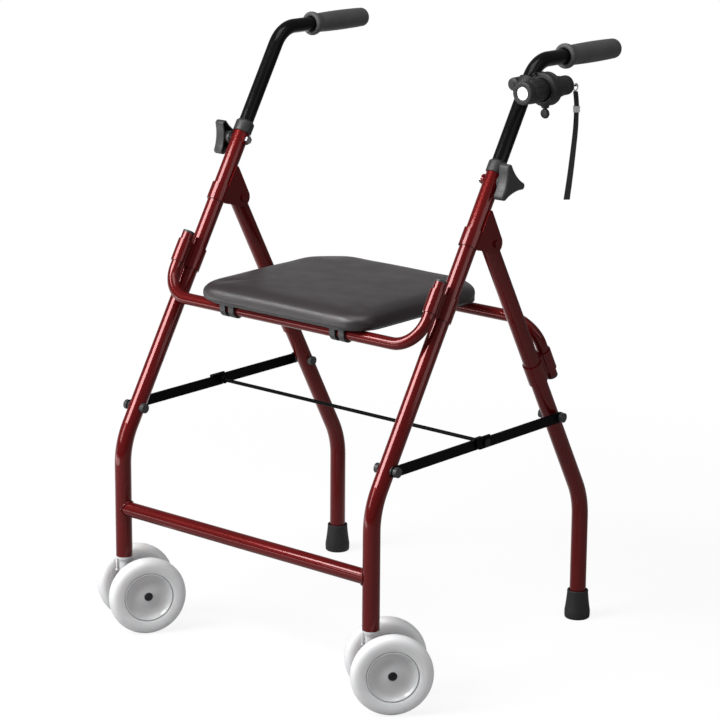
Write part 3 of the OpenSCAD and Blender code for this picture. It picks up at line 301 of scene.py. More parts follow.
def times(tree, one, other):
    node = add(tree, "ShaderNodeMath", operation="MULTIPLY")
    tree.links.new(one, node.inputs[0])
    tree.links.new(other, node.inputs[1])
    return node.outputs[0]


def along(tree, source, direction):
    """How far a vector reaches in a direction."""
    node = add(tree, "ShaderNodeVectorMath", operation="DOT_PRODUCT")
    node.inputs[1].default_value = direction
    tree.links.new(source, node.inputs[0])
    return node.outputs["Value"]


def larger(tree, one, other):
    node = add(tree, "ShaderNodeMath", operation="MAXIMUM")
    tree.links.new(one, node.inputs[0])
    tree.links.new(other, node.inputs[1])
    return node.outputs[0]


def blend(tree, factor, first, second):
    node = add(tree, "ShaderNodeMixShader")
    tree.links.new(factor, node.inputs["Fac"])
    tree.links.new(first, node.inputs[1])
    tree.links.new(second, node.inputs[2])
    return node.outputs[0]


def stage_floor():
    """A wide pale floor: white to the eye but for the object's shadow."""
    mesh = bpy.data.meshes.new("floor")
    corners = [(-1, -1), (1, -1), (1, 1), (-1, 1)]
    mesh.from_pydata([(FLOOR_HALF * x, FLOOR_HALF * y, 0) for x, y in corners], [], [(0, 1, 2, 3)])
    floor = bpy.data.objects.new("floor", mesh)
    scene.collection.objects.link(floor)
    mat = bpy.data.materials.new("floor")
    mat.use_nodes = True
    tree = mat.node_tree
    tree.nodes.clear()
    out = add(tree, "ShaderNodeOutputMaterial")
    lit, plain = [add(tree, "ShaderNodeBsdfDiffuse", Color=(tone, tone, tone, 1.0)).outputs[0]
                  for tone in (FLOOR_LIT, FLOOR_PLAIN)]
    white = add(tree, "ShaderNodeEmission", Color=(1.0, 1.0, 1.0, 1.0), Strength=1.0).outputs[0]
    eye, mirrored = shown_to_eye(tree)
    away = add(tree, "ShaderNodeVectorMath", operation="LENGTH")
    tree.links.new(place(tree), away.inputs[0])
    share = span(tree, away.outputs["Value"], SHADOW_LIFT, 1.0, SHADOW_NEAR, SHADOW_FAR)
    behind = span(tree, along(tree, place(tree), BACKDROP), 0.0, 1.0, 0.0, 0.45)
    leftward = span(tree, along(tree, place(tree), ACROSS), 1.0, 0.0, 0.2, 0.5)
    sweep = times(tree, mirrored, times(tree, behind, leftward))
    seen = blend(tree, larger(tree, eye, sweep), plain, blend(tree, share, lit, white))
    tree.links.new(seen, out.inputs["Surface"])
    mesh.materials.append(mat)


def studio_world():
    """White behind the object, and a dimmer room on the camera's side."""
    world = bpy.data.worlds.new("studio")
    scene.world = world
    world.use_nodes = True
    tree = world.node_tree
    tree.nodes.clear()
    out = add(tree, "ShaderNodeOutputWorld")
    white = add(tree, "ShaderNodeBackground", Color=(1.0, 1.0, 1.0, 1.0), Strength=1.0).outputs[0]
    room = add(tree, "ShaderNodeBackground", Color=(0.97, 0.98, 1.0, 1.0),
               Strength=ROOM_LEVEL).outputs[0]
    eye, mirrored = shown_to_eye(tree)
    toward = along(tree, add(tree, "ShaderNodeTexCoord").outputs["Generated"], BACKDROP)
    backdrop = times(tree, mirrored, span(tree, toward, 0.0, 1.0, 0.93, 1.0))
    seen = blend(tree, larger(tree, eye, backdrop), room, white)
    tree.links.new(seen, out.inputs["Surface"])


def softbox(name, azimuth, elevation, distance, size, power, roll=0.0, tip=0.0):
    """A soft lamp, placed by its angle to the camera's heading, to the right where positive."""
    light = bpy.data.lights.new(name, "AREA")
    light.shape = "RECTANGLE"
    light.size, light.size_y = size
    light.energy = power
    lamp = bpy.data.objects.new(name, light)
    scene.collection.objects.link(lamp)
    az, el = math.radians(azimuth), math.radians(elevation)
    flat_back = Vector((-FORWARD.x, -FORWARD.y, 0.0)).normalized()
    level = flat_back * math.cos(az) + RIGHT * math.sin(az)
    aim = level * math.cos(el) + Vector((0, 0, math.sin(el)))
    facing = aim.to_track_quat("Z", "Y").to_matrix().to_4x4()
    turn = Matrix.Rotation(math.radians(roll), 4, "Z") @ Matrix.Rotation(math.radians(tip), 4, "X")
    lamp.matrix_world = Matrix.Translation(LAMPS_AIM + aim * distance) @ facing @ turn


stage_floor()
studio_world()
# Each lamp's angle round and angle up in degrees, distance, size, watts, roll and tip
softbox("key", -66.0, 36.5, 2.6, (1.7, 0.70), 76.0, 13.0)
softbox("low", -66.0, 17.0, 2.6, (0.8, 0.9), 16.0)
softbox("panel", -80.0, -14.6, 1.6, (1.5, 0.8), 16.0, 0.0, 75.4)
softbox("strip", 54.0, 11.0, 2.6, (1.9, 0.55), 6.0, -33.0)
softbox("fill", 50.0, 40.0, 2.8, (2.2, 1.6), 5.0)
softbox("top", -10.0, 76.0, 2.0, (1.3, 1.3), 20.0)


# Mesh helpers
def piece(name, verts, faces, slot, body, swaps=(), sharp=35.0):
    """A named mesh piece with its slot's material, riding on a body and standing for its nodes."""
    mesh = bpy.data.meshes.new(name)
    mesh.from_pydata([tuple(v) for v in verts], [], faces)
    mesh.update()
    obj = bpy.data.objects.new(name, mesh)
    scene.collection.objects.link(obj)
    finish_piece(obj, slot, body, swaps, sharp)
    return obj


def finish_piece(obj, slot, body, swaps=(), sharp=35.0):
    """Shading, finish, body and the nodes that it stands for."""
    tidy_normals(obj.data, sharp)
    obj.data.materials.clear()
    obj.data.materials.append(MATS[slot])
    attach(obj, body)
    if swaps:
        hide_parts(*swaps)


def tidy_normals(mesh, sharp):
    """Faces outward and smooth, with edges above an angle left sharp."""
    work = bmesh.new()
    work.from_mesh(mesh)
    bmesh.ops.remove_doubles(work, verts=work.verts, dist=1e-7)
    bmesh.ops.recalc_face_normals(work, faces=work.faces)
    for face in work.faces:
        face.smooth = True
    work.to_mesh(mesh)
    work.free()
    mesh.set_sharp_from_angle(angle=math.radians(sharp))


def arc(cx, cy, r, start, end, steps=8):
    """Points of an arc in a profile, in degrees."""
    turn = [math.radians(start + (end - start) * i / steps) for i in range(steps + 1)]
    return [(cx + r * math.cos(a), cy + r * math.sin(a)) for a in turn]


def lathe_mesh(profile, matrix, closed=False, segments=96):
    """Turns a profile of (radius, height) in millimetres about the matrix's z axis."""
    verts, faces, rows = [], [], []
    for r, h in profile:
        if r < 1e-6:
            rows.append([len(verts)])
            verts.append(matrix @ Vector((0.0, 0.0, h * MM)))
        else:
            rows.append(list(range(len(verts), len(verts) + segments)))
            for i in range(segments):
                a = math.tau * i / segments
                verts.append(matrix @ Vector((r * MM * math.cos(a), r * MM * math.sin(a), h * MM)))
    pairs = list(zip(rows, rows[1:]))
    if closed:
        pairs.append((rows[-1], rows[0]))
    for low, high in pairs:
        for i in range(segments):
            j = (i + 1) % segments
            if len(low) == 1 and len(high) == 1:
                continue
            if len(low) == 1:
                faces.append((low[0], high[j], high[i]))
            elif len(high) == 1:
                faces.append((low[i], low[j], high[0]))
            else:
                faces.append((low[i], low[j], high[j], high[i]))
    return verts, faces


def lathe(name, profile, matrix, slot, body, swaps=(), closed=False, sharp=35.0, segments=96):
    """A turned shape as a piece of its own."""
    verts, faces = lathe_mesh(profile, matrix, closed, segments)
    return piece(name, verts, faces, slot, body, swaps, sharp)


def join_meshes(parts):
    """Several (verts, faces) lists as one."""
    verts, faces = [], []
    for more_verts, more_faces in parts:
        shift = len(verts)
        verts += more_verts
        faces += [tuple(i + shift for i in f) for f in more_faces]
    return verts, faces


def joined(name, shapes, slot, body, swaps, sharp):
    """Several shapes as one piece."""
    verts, faces = join_meshes(shapes)
    return piece(name, verts, faces, slot, body, swaps, sharp)


def ring_faces(rings, count):
    """Four-sided faces from each ring of points to the next."""
    faces = []
    for k in range(rings - 1):
        low, high = k * count, (k + 1) * count
        for i in range(count):
            j = (i + 1) % count
            faces.append((low + i, low + j, high + j, high + i))
    return faces


def end_faces(rings, count):
    """A face over the first ring and one over the last."""
    return [tuple(range(count)), tuple(range((rings - 1) * count, rings * count))]


def sweep_mesh(points, radius, sides=10, closed=False):
    """A round bead or wire along points in metres."""
    verts = []
    count = len(points)
    up = Vector((0, 0, 1))
    for k, p in enumerate(points):
        before = points[(k - 1) % count] if closed or k else p
        after = points[(k + 1) % count] if closed or k < count - 1 else p
        ahead = (Vector(after) - Vector(before)).normalized()
        side = ahead.cross(up)
        side = side.normalized() if side.length > 1e-4 else Vector((1, 0, 0))
        lift = side.cross(ahead)
        for i in range(sides):
            a = math.tau * i / sides
            verts.append(Vector(p) + side * radius * math.cos(a) + lift * radius * math.sin(a))
    faces = ring_faces(count, sides)
    if closed:
        last = (count - 1) * sides
        for i in range(sides):
            j = (i + 1) % sides
            faces.append((last + i, last + j, j, i))
    else:
        faces += end_faces(count, sides)
    return verts, faces


def box_mesh(low, high, matrix, radius, steps=3):
    """A box in millimetres with rounded edges."""
    work = bmesh.new()
    bmesh.ops.create_cube(work, size=1.0)
    size, mid = Vector(high) - Vector(low), (Vector(high) + Vector(low)) / 2
    for v in work.verts:
        v.co = Vector((v.co.x * size.x, v.co.y * size.y, v.co.z * size.z)) + mid
    bmesh.ops.bevel(work, geom=list(work.edges), offset=radius, segments=steps, profile=0.5,
                    affect="EDGES")
    work.verts.index_update()
    verts = [matrix @ (v.co * MM) for v in work.verts]
    faces = [tuple(v.index for v in f.verts) for f in work.faces]
    work.free()
    return verts, faces


def turn_x(angle):
    return Matrix.Rotation(angle, 4, "X")


def turn_y(angle):
    return Matrix.Rotation(angle, 4, "Y")


def turn_z(angle):
    return Matrix.Rotation(angle, 4, "Z")


def move(x, y, z):
    return Matrix.Translation(Vector((x, y, z)))


def on_front_leg(x, s, n=0.0):
    """The front leg's frame in metres: z up the leg, y behind it."""
    y = -HALF_Y + s * math.sin(FRONT_LEAN) + n * math.cos(FRONT_LEAN)
    z = FRONT_BEND_Z + s * math.cos(FRONT_LEAN) - n * math.sin(FRONT_LEAN)
    return move(x, y, z) @ turn_x(-FRONT_LEAN)


SIDES = (("left", 1.0), ("right", -1.0))

# The torch's place and its wrist strap, the one cord
TORCH_FRONT, TORCH_LEN = 57.0, 94.0
lens_low, lens_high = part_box("torch_lens")
TORCH_X, TORCH_Z = (lens_low.x + lens_high.x) / 2, (lens_low.z + lens_high.z) / 2
TORCH_Y = lens_low.y + (TORCH_FRONT - 1.0) * MM
EYE_R = 3.6
EYE_X = TORCH_X + 9.0 * MM
EYE_Y = TORCH_Y + (TORCH_LEN - TORCH_FRONT + 2.3) * MM
RING_Y = EYE_Y + EYE_R * MM
STRAP_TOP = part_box("torch_strap")[1].z
STRAP_ROUTE = [(0, 0), (2, 10), (3, 18), (3, 30), (2, 50), (-2, 78), (-7, 108), (-13, 138)]
STRAP_POINTS = [Vector((EYE_X, RING_Y + back * MM, STRAP_TOP - down * MM))
                for back, down in STRAP_ROUTE]
STRAP_TURN = math.radians(45)
STRAP_WIDE, STRAP_WIDENS, WIDENS_FROM = 6.3 * MM, 1.7 * MM, 0.45
STRAP_THICK, STRAP_THICKENS, THICKENS_FROM = 2.2 * MM, 0.5 * MM, 0.82
STRAP_NICK = 0.7 * MM


def smooth_route(points, steps):
    """Catmull-Rom points through the route."""
    route = []
    ends = [points[0] * 2 - points[1]] + points + [points[-1] * 2 - points[-2]]
    for k in range(1, len(ends) - 2):
        a, b, c, d = ends[k - 1:k + 3]
        for i in range(steps):
            t = i / steps
            route.append(0.5 * (2 * b + (c - a) * t + (2 * a - 5 * b + 4 * c - d) * t * t
                                + (3 * b - a - 3 * c + d) * t ** 3))
    route.append(points[-1].copy())
    return route


def tape_section(width, thick, groove):
    """Two layers of tape one on the other: an outline with a nick at each edge."""
    half_w, half_t = width / 2, thick / 2
    side = [(half_w - groove * 0.7, 0.0), (half_w, half_t * 0.35),
            (half_w - 0.1 * MM, half_t * 0.85), (half_w - 0.5 * MM, half_t),
            (half_w * 0.4, half_t * 0.94)]
    top = side + [(-x, y) for x, y in reversed(side)]
    return top + [(-x, -y) for x, y in top[1:-1]]


def wrist_strap():
    """The tape's two layers, which widen and part a little towards the free end."""
    route = smooth_route(STRAP_POINTS, 5)
    across = Vector((math.cos(STRAP_TURN), math.sin(STRAP_TURN), 0.0))
    out = Vector((-across.y, across.x, 0.0))
    verts = []
    for k, p in enumerate(route):
        t = k / (len(route) - 1)
        wide = STRAP_WIDE + STRAP_WIDENS * max(0.0, (t - WIDENS_FROM) / (1 - WIDENS_FROM))
        thick = STRAP_THICK + STRAP_THICKENS * max(0.0, (t - THICKENS_FROM) / (1 - THICKENS_FROM))
        section = tape_section(wide, thick, STRAP_NICK)
        verts += [p + across * x + out * y for x, y in section]
    faces = ring_faces(len(route), len(section)) + end_faces(len(route), len(section))
    strap = piece("wrist_strap", verts, faces, "strap_tape", "torch", ("torch_strap",), 50.0)


wrist_strap()

# Casters: each one's place and how far it is turned, in degrees
CASTERS = {"left": (HALF_X, 43.0), "right": (-HALF_X, 31.0)}
TRAIL, AXLE_Z, TRACK = 23.0 * MM, 52.5 * MM, 66.0 * MM
TREAD_R, BULGE_R, BORE_R, WHEEL_HALF, DISH = 52.5, 41.5, 4.08, 11.0, 5.0
BULGE_STEPS = 28


def tyre_profile():
    """A full round tyre that falls away to the rim."""
    bulge = []
    for i in range(BULGE_STEPS + 1):
        a = math.radians(-90 + 180 * i / BULGE_STEPS)
        c, s = math.cos(a), math.sin(a)
        bulge.append((BULGE_R + (TREAD_R - BULGE_R) * abs(c) ** 0.85,
                      WHEEL_HALF * math.copysign(abs(s) ** 0.9, s)))
    face = [(39.0, 10.85), (36.8, 10.55), (35.0, 10.1), (33.9, 9.6), (33.3, 9.0)]
    seat = [(33.15, 8.0), (33.15, 0.0), (33.15, -8.0)]
    return [(r, -h) for r, h in reversed(face)] + bulge + face + seat


def core_profile():
    """A bowl with a steep wall below the rim and a floor that rises to the hub."""
    hub = WHEEL_HALF - DISH
    centre = [(BORE_R, hub), (6.4, hub), (6.7, hub - 0.2)]
    floor = [(7.0 + 13.0 * i / 8, hub - 0.4 - 1.1 * (1 - math.cos(math.pi * i / 8)))
             for i in range(8)]
    wall = [(20.0 + 11.6 * i / 12, hub - 2.6 + 6.5 * (i / 12) ** 3) for i in range(13)]
    rim = [(32.2, 9.9), (32.6, 9.7), (32.8, 9.2), (32.8, 8.0)]
    inner = [(32.8, -5.6), (32.4, -6.0), (13.2, -6.0), (12.2, -6.6), (11.9, -10.5), (11.5, -10.9),
             (BORE_R, -10.9)]
    return centre + floor + wall + rim + inner


def caster_body_parts(swivel, axle):
    """The hub under the leg with its spring finger, the neck, and the barrel between the wheels."""
    top = LEG_END_Z / MM - 3.3
    low = AXLE_Z / MM
    hub = [(0.0, low - 6.0), (8.2, low - 6.0), (9.0, low - 5.0), (9.0, top - 3.4),
           (10.3, top - 2.2), (10.3, top - 0.3), (10.0, top), (0.0, top)]
    half = [(12.8, 0.0), (13.2, 12.0), (14.0, 19.6), (13.6, 20.9), (12.6, 21.7), (0.0, 21.7)]
    barrel = [(r, -h) for r, h in reversed(half[1:])] + half
    barrel_at = axle @ turn_y(math.pi / 2)
    return [lathe_mesh(hub, swivel @ move(0, 1.0 * MM, 0), segments=64),
            lathe_mesh(barrel, barrel_at, segments=72),
            box_mesh((-9.0, 2.0, low - 5.0), (9.0, TRAIL / MM + 4.0, low + 21.0), swivel, 5.0, 5),
            box_mesh((-2.8, -11.3, top - 15.5), (2.8, -9.6, top - 0.2), swivel, 0.7),
            box_mesh((-2.8, -12.2, top - 17.0), (2.8, -8.0, top - 14.6), swivel, 0.8)]


def casters():
    axle_cap = [(0.0, 2.7), (2.0, 2.65), (4.2, 2.2), (5.4, 1.3), (5.9, 0.3), (5.9, 0.0),
                (4.0, 0.0), (4.0, -38.0)]
    cap_out = move(0, 0, (WHEEL_HALF - DISH + 0.3) * MM)
    for side, (x, turn) in CASTERS.items():
        swivel = move(x, -HALF_Y, 0) @ turn_z(-math.radians(turn))
        axle = swivel @ move(0, TRAIL, AXLE_Z)
        caps = []
        for sign in (1.0, -1.0):
            which = "%s_%s" % (side, "outer" if (side == "left") == (sign > 0) else "inner")
            at = axle @ move(sign * TRACK / 2, 0, 0) @ turn_y(sign * math.pi / 2)
            body = "wheel_" + which
            lathe("tyre_%s_moulded" % which, tyre_profile(), at, "pale_tyre", body,
                  ("tyre_" + which,), closed=True, sharp=50.0)
            lathe("core_%s_moulded" % which, core_profile(), at, "pale_plastic", body,
                  ("wheel_" + which,), closed=True, sharp=40.0)
            caps.append(lathe_mesh(axle_cap, at @ cap_out, segments=48))
        joined("axle_%s_capped" % side, caps, "dark_steel", "caster_%s" % side,
               ("caster_axle_%s" % side,), 40.0)
        joined("caster_%s_moulded" % side, caster_body_parts(swivel, axle), "pale_plastic",
               "caster_%s" % side, ("caster_body_%s" % side,), 40.0)


casters()

# Grips, collars and knobs
HANDLE_S = (780.0 * MM - FRONT_BEND_Z) / math.cos(FRONT_LEAN)
HANDLE_TURN = math.radians(59.7)
HANDLE_BEND = 42.0 * MM
HANDLE_TAN = HANDLE_BEND * math.tan(HANDLE_TURN / 2)
LEG_TOP_S = 465.0 * MM
BOLT_S = 445.0 * MM
GRIP_START = 58.0 * MM
LUG_FACE, KNOB_STAND, KNOB_DEEP = 11.4, 6.5, 15.0
LOBE_AT, LOBE_R, SCOOP_R, WAIST = 21.0, 5.0, 60.0, 3.0
LOBE_SPAN, SCOOP_SPAN = 56, 11.5
KNOB_TURN = {"left": -16.0, "right": -5.0}


def after_bend(x):
    """The handle's frame where its bend ends: z along the grip."""
    lift = move(0, HANDLE_BEND * (1 - math.cos(HANDLE_TURN)), HANDLE_BEND * math.sin(HANDLE_TURN))
    return on_front_leg(x, HANDLE_S - HANDLE_TAN) @ lift @ turn_x(-HANDLE_TURN)


def grip_profile():
    """A soft grip: a thick flange, a waist, a slightly full barrel and a rounded end."""
    cup = [(9.85, 50.0), (9.85, 5.0), (11.2, 1.6)]
    flange = arc(13.2, 3.4, 3.25, 215, 360, 10)
    neck = [(16.35, 5.2), (15.6, 8.0), (14.4, 10.8), (13.4, 14.0)]
    barrel = [(13.1 + 0.75 * math.sin(math.pi * i / 12) ** 0.8, 17.5 + 88.5 * i / 12)
              for i in range(13)]
    end = arc(5.6, 107.4, 7.5, 8, 90, 8) + [(3.0, 114.9), (0.0, 115.0)]
    return cup + flange + neck + barrel + end


def collar_profile():
    """A collar over the leg's top, with a rounded shoulder up to the handle tube."""
    return ([(11.1, -10.5), (12.4, -10.5), (12.75, -10.1), (12.8, -9.0), (12.8, 2.4)]
            + arc(10.0, 2.4, 2.8, 0, 70, 6) + [(10.4, 6.2), (9.88, 6.4), (9.88, 0.0), (11.1, 0.0)])


def knob_outline(shrink):
    """Three lobes with hollow sides, one lobe to the back, in millimetres."""
    points = []
    scoop_at = LOBE_AT * 0.5 + LOBE_R - WAIST + SCOOP_R
    for i in range(3):
        turn = 120.0 * i
        cx, cy = LOBE_AT * math.cos(math.radians(turn)), LOBE_AT * math.sin(math.radians(turn))
        points += arc(cx, cy, LOBE_R - shrink, turn - LOBE_SPAN, turn + LOBE_SPAN, 10)
        mid = math.radians(turn + 60)
        sx, sy = scoop_at * math.cos(mid), scoop_at * math.sin(mid)
        back = turn + 60 + 180
        points += arc(sx, sy, SCOOP_R + shrink, back + SCOOP_SPAN, back - SCOOP_SPAN, 10)
    return points


def knob_mesh(x_sign, y, z, turn):
    """A hollow three-lobed knob: a crowned face, rounded rims, and a hub."""
    face_in = HALF_X + (LUG_FACE + KNOB_STAND) * MM
    face_out = face_in + KNOB_DEEP * MM
    c, s = math.cos(math.radians(turn)), math.sin(math.radians(turn))
    rings = []
    levels = [(2.5, face_out - 3.5 * MM), (2.5, face_in + 0.3 * MM), (2.2, face_in), (0.5, face_in),
              (0.12, face_in + 0.3 * MM), (0.0, face_in + 0.8 * MM), (0.0, face_out - 2.4 * MM),
              (0.35, face_out - 1.1 * MM), (1.1, face_out - 0.35 * MM), (2.2, face_out - 0.05 * MM),
              (3.4, face_out)]
    for shrink, x in levels:
        rings.append([Vector((x_sign * x, y + (u * c - v * s) * MM, z + (u * s + v * c) * MM))
                      for u, v in knob_outline(shrink)])
    count = len(rings[0])
    verts = [v for ring in rings for v in ring]
    faces = ring_faces(len(rings), count) + end_faces(len(rings), count)
    hub = [(6.0, 1.0), (8.2, 1.0), (8.8, 1.4), (9.0, 2.2), (9.0, 19.5), (6.0, 19.5)]
    hub_at = move(x_sign * (HALF_X + LUG_FACE * MM), y, z) @ turn_y(x_sign * math.pi / 2)
    return join_meshes([(verts, faces), lathe_mesh(hub, hub_at, closed=True, segments=48)])


def handles():
    bolt_y = -HALF_Y + BOLT_S * math.sin(FRONT_LEAN)
    bolt_z = FRONT_BEND_Z + BOLT_S * math.cos(FRONT_LEAN)
    collars = []
    for side, sign in SIDES:
        at = after_bend(sign * HALF_X) @ move(0, 0, GRIP_START - HANDLE_TAN)
        lathe("grip_%s_moulded" % side, grip_profile(), at, "grip_rubber", "handle_%s" % side,
              ("handle_grip_%s" % side,), sharp=60.0, segments=72)
        leg_top = on_front_leg(sign * HALF_X, LEG_TOP_S)
        collars.append(lathe_mesh(collar_profile(), leg_top, closed=True, segments=72))
        verts, faces = knob_mesh(sign, bolt_y, bolt_z, KNOB_TURN[side])
        piece("knob_%s_moulded" % side, verts, faces, "black_plastic", "knob_%s" % side,
              ("knob_%s" % side,), 40.0)
    joined("collars_moulded", collars, "grey_plastic", "front_frame", ("leg_collars",), 50.0)


handles()


# Feet and welds
BEAD_R, BEAD_STEPS, RIPPLES, RIPPLE = 1.5 * MM, 72, 24, 0.25 * MM


def foot_profile():
    """A ferrule: an upright rim at the floor, a taper, and a rolled lip at the top."""
    rim = [(0.0, 0.0), (14.0, 0.0), (16.2, 0.3), (17.1, 1.2), (17.4, 3.0), (17.5, 6.0),
           (17.5, 11.0)]
    taper = [(17.1, 13.0), (16.5, 17.0), (15.7, 23.0), (15.0, 29.0), (14.45, 35.0)]
    socket = [(11.7, 38.4), (11.15, 36.8), (11.1, 34.0), (11.1, 6.0), (0.0, 6.0)]
    return rim + taper + arc(13.2, 38.8, 1.2, 0, 140, 6) + socket


def feet():
    shapes = [lathe_mesh(foot_profile(), move(sign * HALF_X, HALF_Y, 0), segments=72)
              for _, sign in SIDES]
    joined("feet_moulded", shapes, "foot_rubber", "rear_frame", ("rear_feet",), 50.0)


def welds():
    """A rippled bead where each end of the cross tube meets its leg."""
    beads = []
    for _, sign in SIDES:
        ring = []
        for i in range(BEAD_STEPS):
            a = math.tau * i / BEAD_STEPS
            y = (CROSS_R + 0.5 * MM) * math.cos(a)
            reach = math.sqrt((LEG_R + 0.4 * MM) ** 2 - min(y * y, (LEG_R + 0.3 * MM) ** 2))
            ripple = RIPPLE * math.sin(RIPPLES * a)
            ring.append(Vector((sign * (HALF_X - reach - 0.7 * MM + ripple), -HALF_Y + y,
                                CROSS_Z + (CROSS_R + 0.5 * MM) * math.sin(a))))
        beads.append(sweep_mesh(ring, BEAD_R, 10, closed=True))
    joined("cross_tube_welds", beads, "red_paint", "front_frame", (), 80.0)


feet()
welds()


# Torch, its holder and its clamp
HOLDER_AHEAD, HOLDER_R, TORCH_R = 17.0, 21.5, 13.5
HANDLE_R, CLAMP_FACE, SLIDE_GAP = 9.8, 3.4 + 0.3, 0.3
SCREW_BOSS_DOWN, PADDLE_DOWN, STEM_LEN = 24.0, 31.2, 10.0
LATCH_TURN, LATCH_OUT = math.radians(-118), 20.6
CLAMP_BELOW_BEND, LUG_IN = 10.0, 17.0
EYE_WIRE, EYE_STEPS, FACETS, FACET_OUT = 0.9 * MM, 30, 10, 14.4


def torch_profile():
    """The cup behind the lens, the grooved head, the barrel and the rounded tail."""
    lens_cup = [(0.0, 3.0), (9.75, 3.0), (9.75, 1.0), (8.4, 0.9), (8.4, 0.4), (8.9, 0.0),
                (11.2, 0.0)]
    head = [(13.7, 0.0), (14.6, 0.5), (15.0, 1.5), (14.85, 9.0), (14.5, 9.5), (14.5, 10.4),
            (14.85, 10.9), (14.7, 33.0), (14.4, 35.6), (TORCH_R, 38.0)]
    barrel = [(TORCH_R, 76.0), (12.9, 77.6), (11.6, 79.0), (11.4, 80.4), (12.1, 81.8),
              (12.5, 83.4), (12.5, 89.0)]
    tail = arc(9.5, 91.0, 3.0, 0, 85, 8) + [(7.0, 94.0), (4.1, 94.0), (4.08, 88.0), (0.0, 88.0)]
    return lens_cup + head + barrel + tail


def torch():
    """The body with its gripping facets and the strap's eye."""
    at = move(TORCH_X, TORCH_Y - TORCH_FRONT * MM, TORCH_Z) @ turn_x(-math.pi / 2)
    eye = []
    for i in range(EYE_STEPS + 1):
        a = math.radians(-60 + 300 * i / EYE_STEPS)
        eye.append(Vector((EYE_X + EYE_R * MM * math.cos(a), EYE_Y + EYE_R * MM * math.sin(a),
                           TORCH_Z)))
    facets = []
    for i in range(FACETS):
        spot = at @ turn_z(math.tau * i / FACETS) @ move(FACET_OUT * MM, 0, 0)
        facets.append(box_mesh((-0.5, -2.6, 13.5), (0.75, 2.6, 31.0), spot, 0.5, 2))
    shapes = [lathe_mesh(torch_profile(), at), sweep_mesh(eye, EYE_WIRE, 12)] + facets
    joined("torch_moulded", shapes, "torch_plastic", "torch", ("torch_body",), 40.0)


def holder_profile():
    """The holder's ring: a broad front face, a rolled rim and a step behind it."""
    bore, edge = TORCH_R + 0.1, TORCH_R + 0.9
    front = [(bore, 1.4), (edge, 0.3), (15.4, 0.0), (17.2, 0.2), (17.8, 1.0), (18.4, 1.1)]
    step = [(HOLDER_R, 8.4), (20.9, 9.0), (20.9, 10.2), (HOLDER_R, 10.8)]
    rim = arc(18.9, 3.0, 2.6, -80, 0, 7) + step
    back = arc(18.9, 14.2, 2.6, 0, 85, 7) + [(15.4, 17.0), (edge, 16.7), (bore, 15.6)]
    return front + rim + back


def holder():
    """The ring round the torch, its boss to the clamp, its screw boss and a small latch on top."""
    ring_at = move(TORCH_X, TORCH_Y - HOLDER_AHEAD * MM, TORCH_Z) @ turn_x(-math.pi / 2)
    face = HALF_X + (HANDLE_R + CLAMP_FACE + SLIDE_GAP) * MM
    boss_at = move(face, TORCH_Y, TORCH_Z) @ turn_y(math.pi / 2)
    boss = [(3.1, 0.0), (7.2, 0.0), (7.8, 0.5), (8.0, 1.3), (8.0, 8.6), (3.1, 8.6)]
    screw_at = move(TORCH_X, TORCH_Y - HOLDER_AHEAD / 2 * MM, TORCH_Z - SCREW_BOSS_DOWN * MM)
    screw_boss = [(2.6, 0.0), (4.4, 0.0), (4.9, 0.6), (5.0, 1.4), (5.6, 4.0), (2.6, 4.0)]
    latch_at = ring_at @ turn_z(LATCH_TURN) @ move(LATCH_OUT * MM, 0, 0)
    shapes = [lathe_mesh(holder_profile(), ring_at, closed=True),
              lathe_mesh(boss, boss_at, closed=True, segments=64),
              lathe_mesh(screw_boss, screw_at, closed=True, segments=48),
              box_mesh((-1.5, -3.4, 1.5), (1.8, 3.4, 14.5), latch_at, 0.9),
              box_mesh((0.6, -2.2, -4.5), (2.0, 2.2, 5.0), latch_at, 0.6)]
    joined("holder_moulded", shapes, "torch_plastic", "torch", ("torch_holder",), 40.0)


def thumb_screw():
    """A stem with a round flat paddle to turn it by."""
    low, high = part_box("torch_thumb_screw")
    mid = (low + high) / 2
    half = [(6.5, 0.0), (6.4, 0.7), (5.9, 1.7), (4.9, 2.25), (0.0, 2.25)]
    paddle = [(r, -h) for r, h in reversed(half[1:])] + half
    stem = [(0.0, 0.0), (2.5, 0.0), (2.5, STEM_LEN), (0.0, STEM_LEN)]
    paddle_at = move(mid.x, mid.y, TORCH_Z - PADDLE_DOWN * MM) @ turn_x(-math.pi / 2)
    shapes = [lathe_mesh(paddle, paddle_at, segments=56),
              lathe_mesh(stem, move(mid.x, mid.y, high.z - STEM_LEN * MM), segments=32)]
    joined("thumb_screw_moulded", shapes, "torch_plastic", "torch_thumb_screw",
           ("torch_thumb_screw",), 40.0)


def clamp():
    """The band round the handle tube, its screw lug on the inner side and the torch's boss."""
    band_at = on_front_leg(HALF_X, HANDLE_S - HANDLE_TAN - CLAMP_BELOW_BEND * MM)
    half_band = [(13.2, 7.6), (12.9, 8.5), (12.2, 9.0), (HANDLE_R, 8.6)]
    band = [(r, -h) for r, h in reversed(half_band)] + half_band
    lug_at = move(HALF_X - LUG_IN * MM, TORCH_Y, TORCH_Z) @ turn_x(-math.pi / 2)
    half_lug = [(8.5, 6.2), (8.0, 7.6), (6.8, 8.2), (2.6, 8.2), (2.4, 9.0), (0.0, 9.0)]
    lug = [(r, -h) for r, h in reversed(half_lug)] + half_lug
    boss_at = move(HALF_X + HANDLE_R * MM, TORCH_Y, TORCH_Z) @ turn_y(math.pi / 2)
    boss = [(0.0, 0.0), (8.0, 0.0), (8.0, 2.6), (7.6, 3.4), (7.0, 3.7), (3.0, 3.7), (3.0, 8.2),
            (0.0, 8.2)]
    shapes = [lathe_mesh(band, band_at, closed=True), lathe_mesh(lug, lug_at, segments=64),
              lathe_mesh(boss, boss_at, segments=64)]
    joined("clamp_moulded", shapes, "torch_plastic", "handle_left", ("torch_clamp",), 40.0)


torch()
holder()
thumb_screw()
clamp()


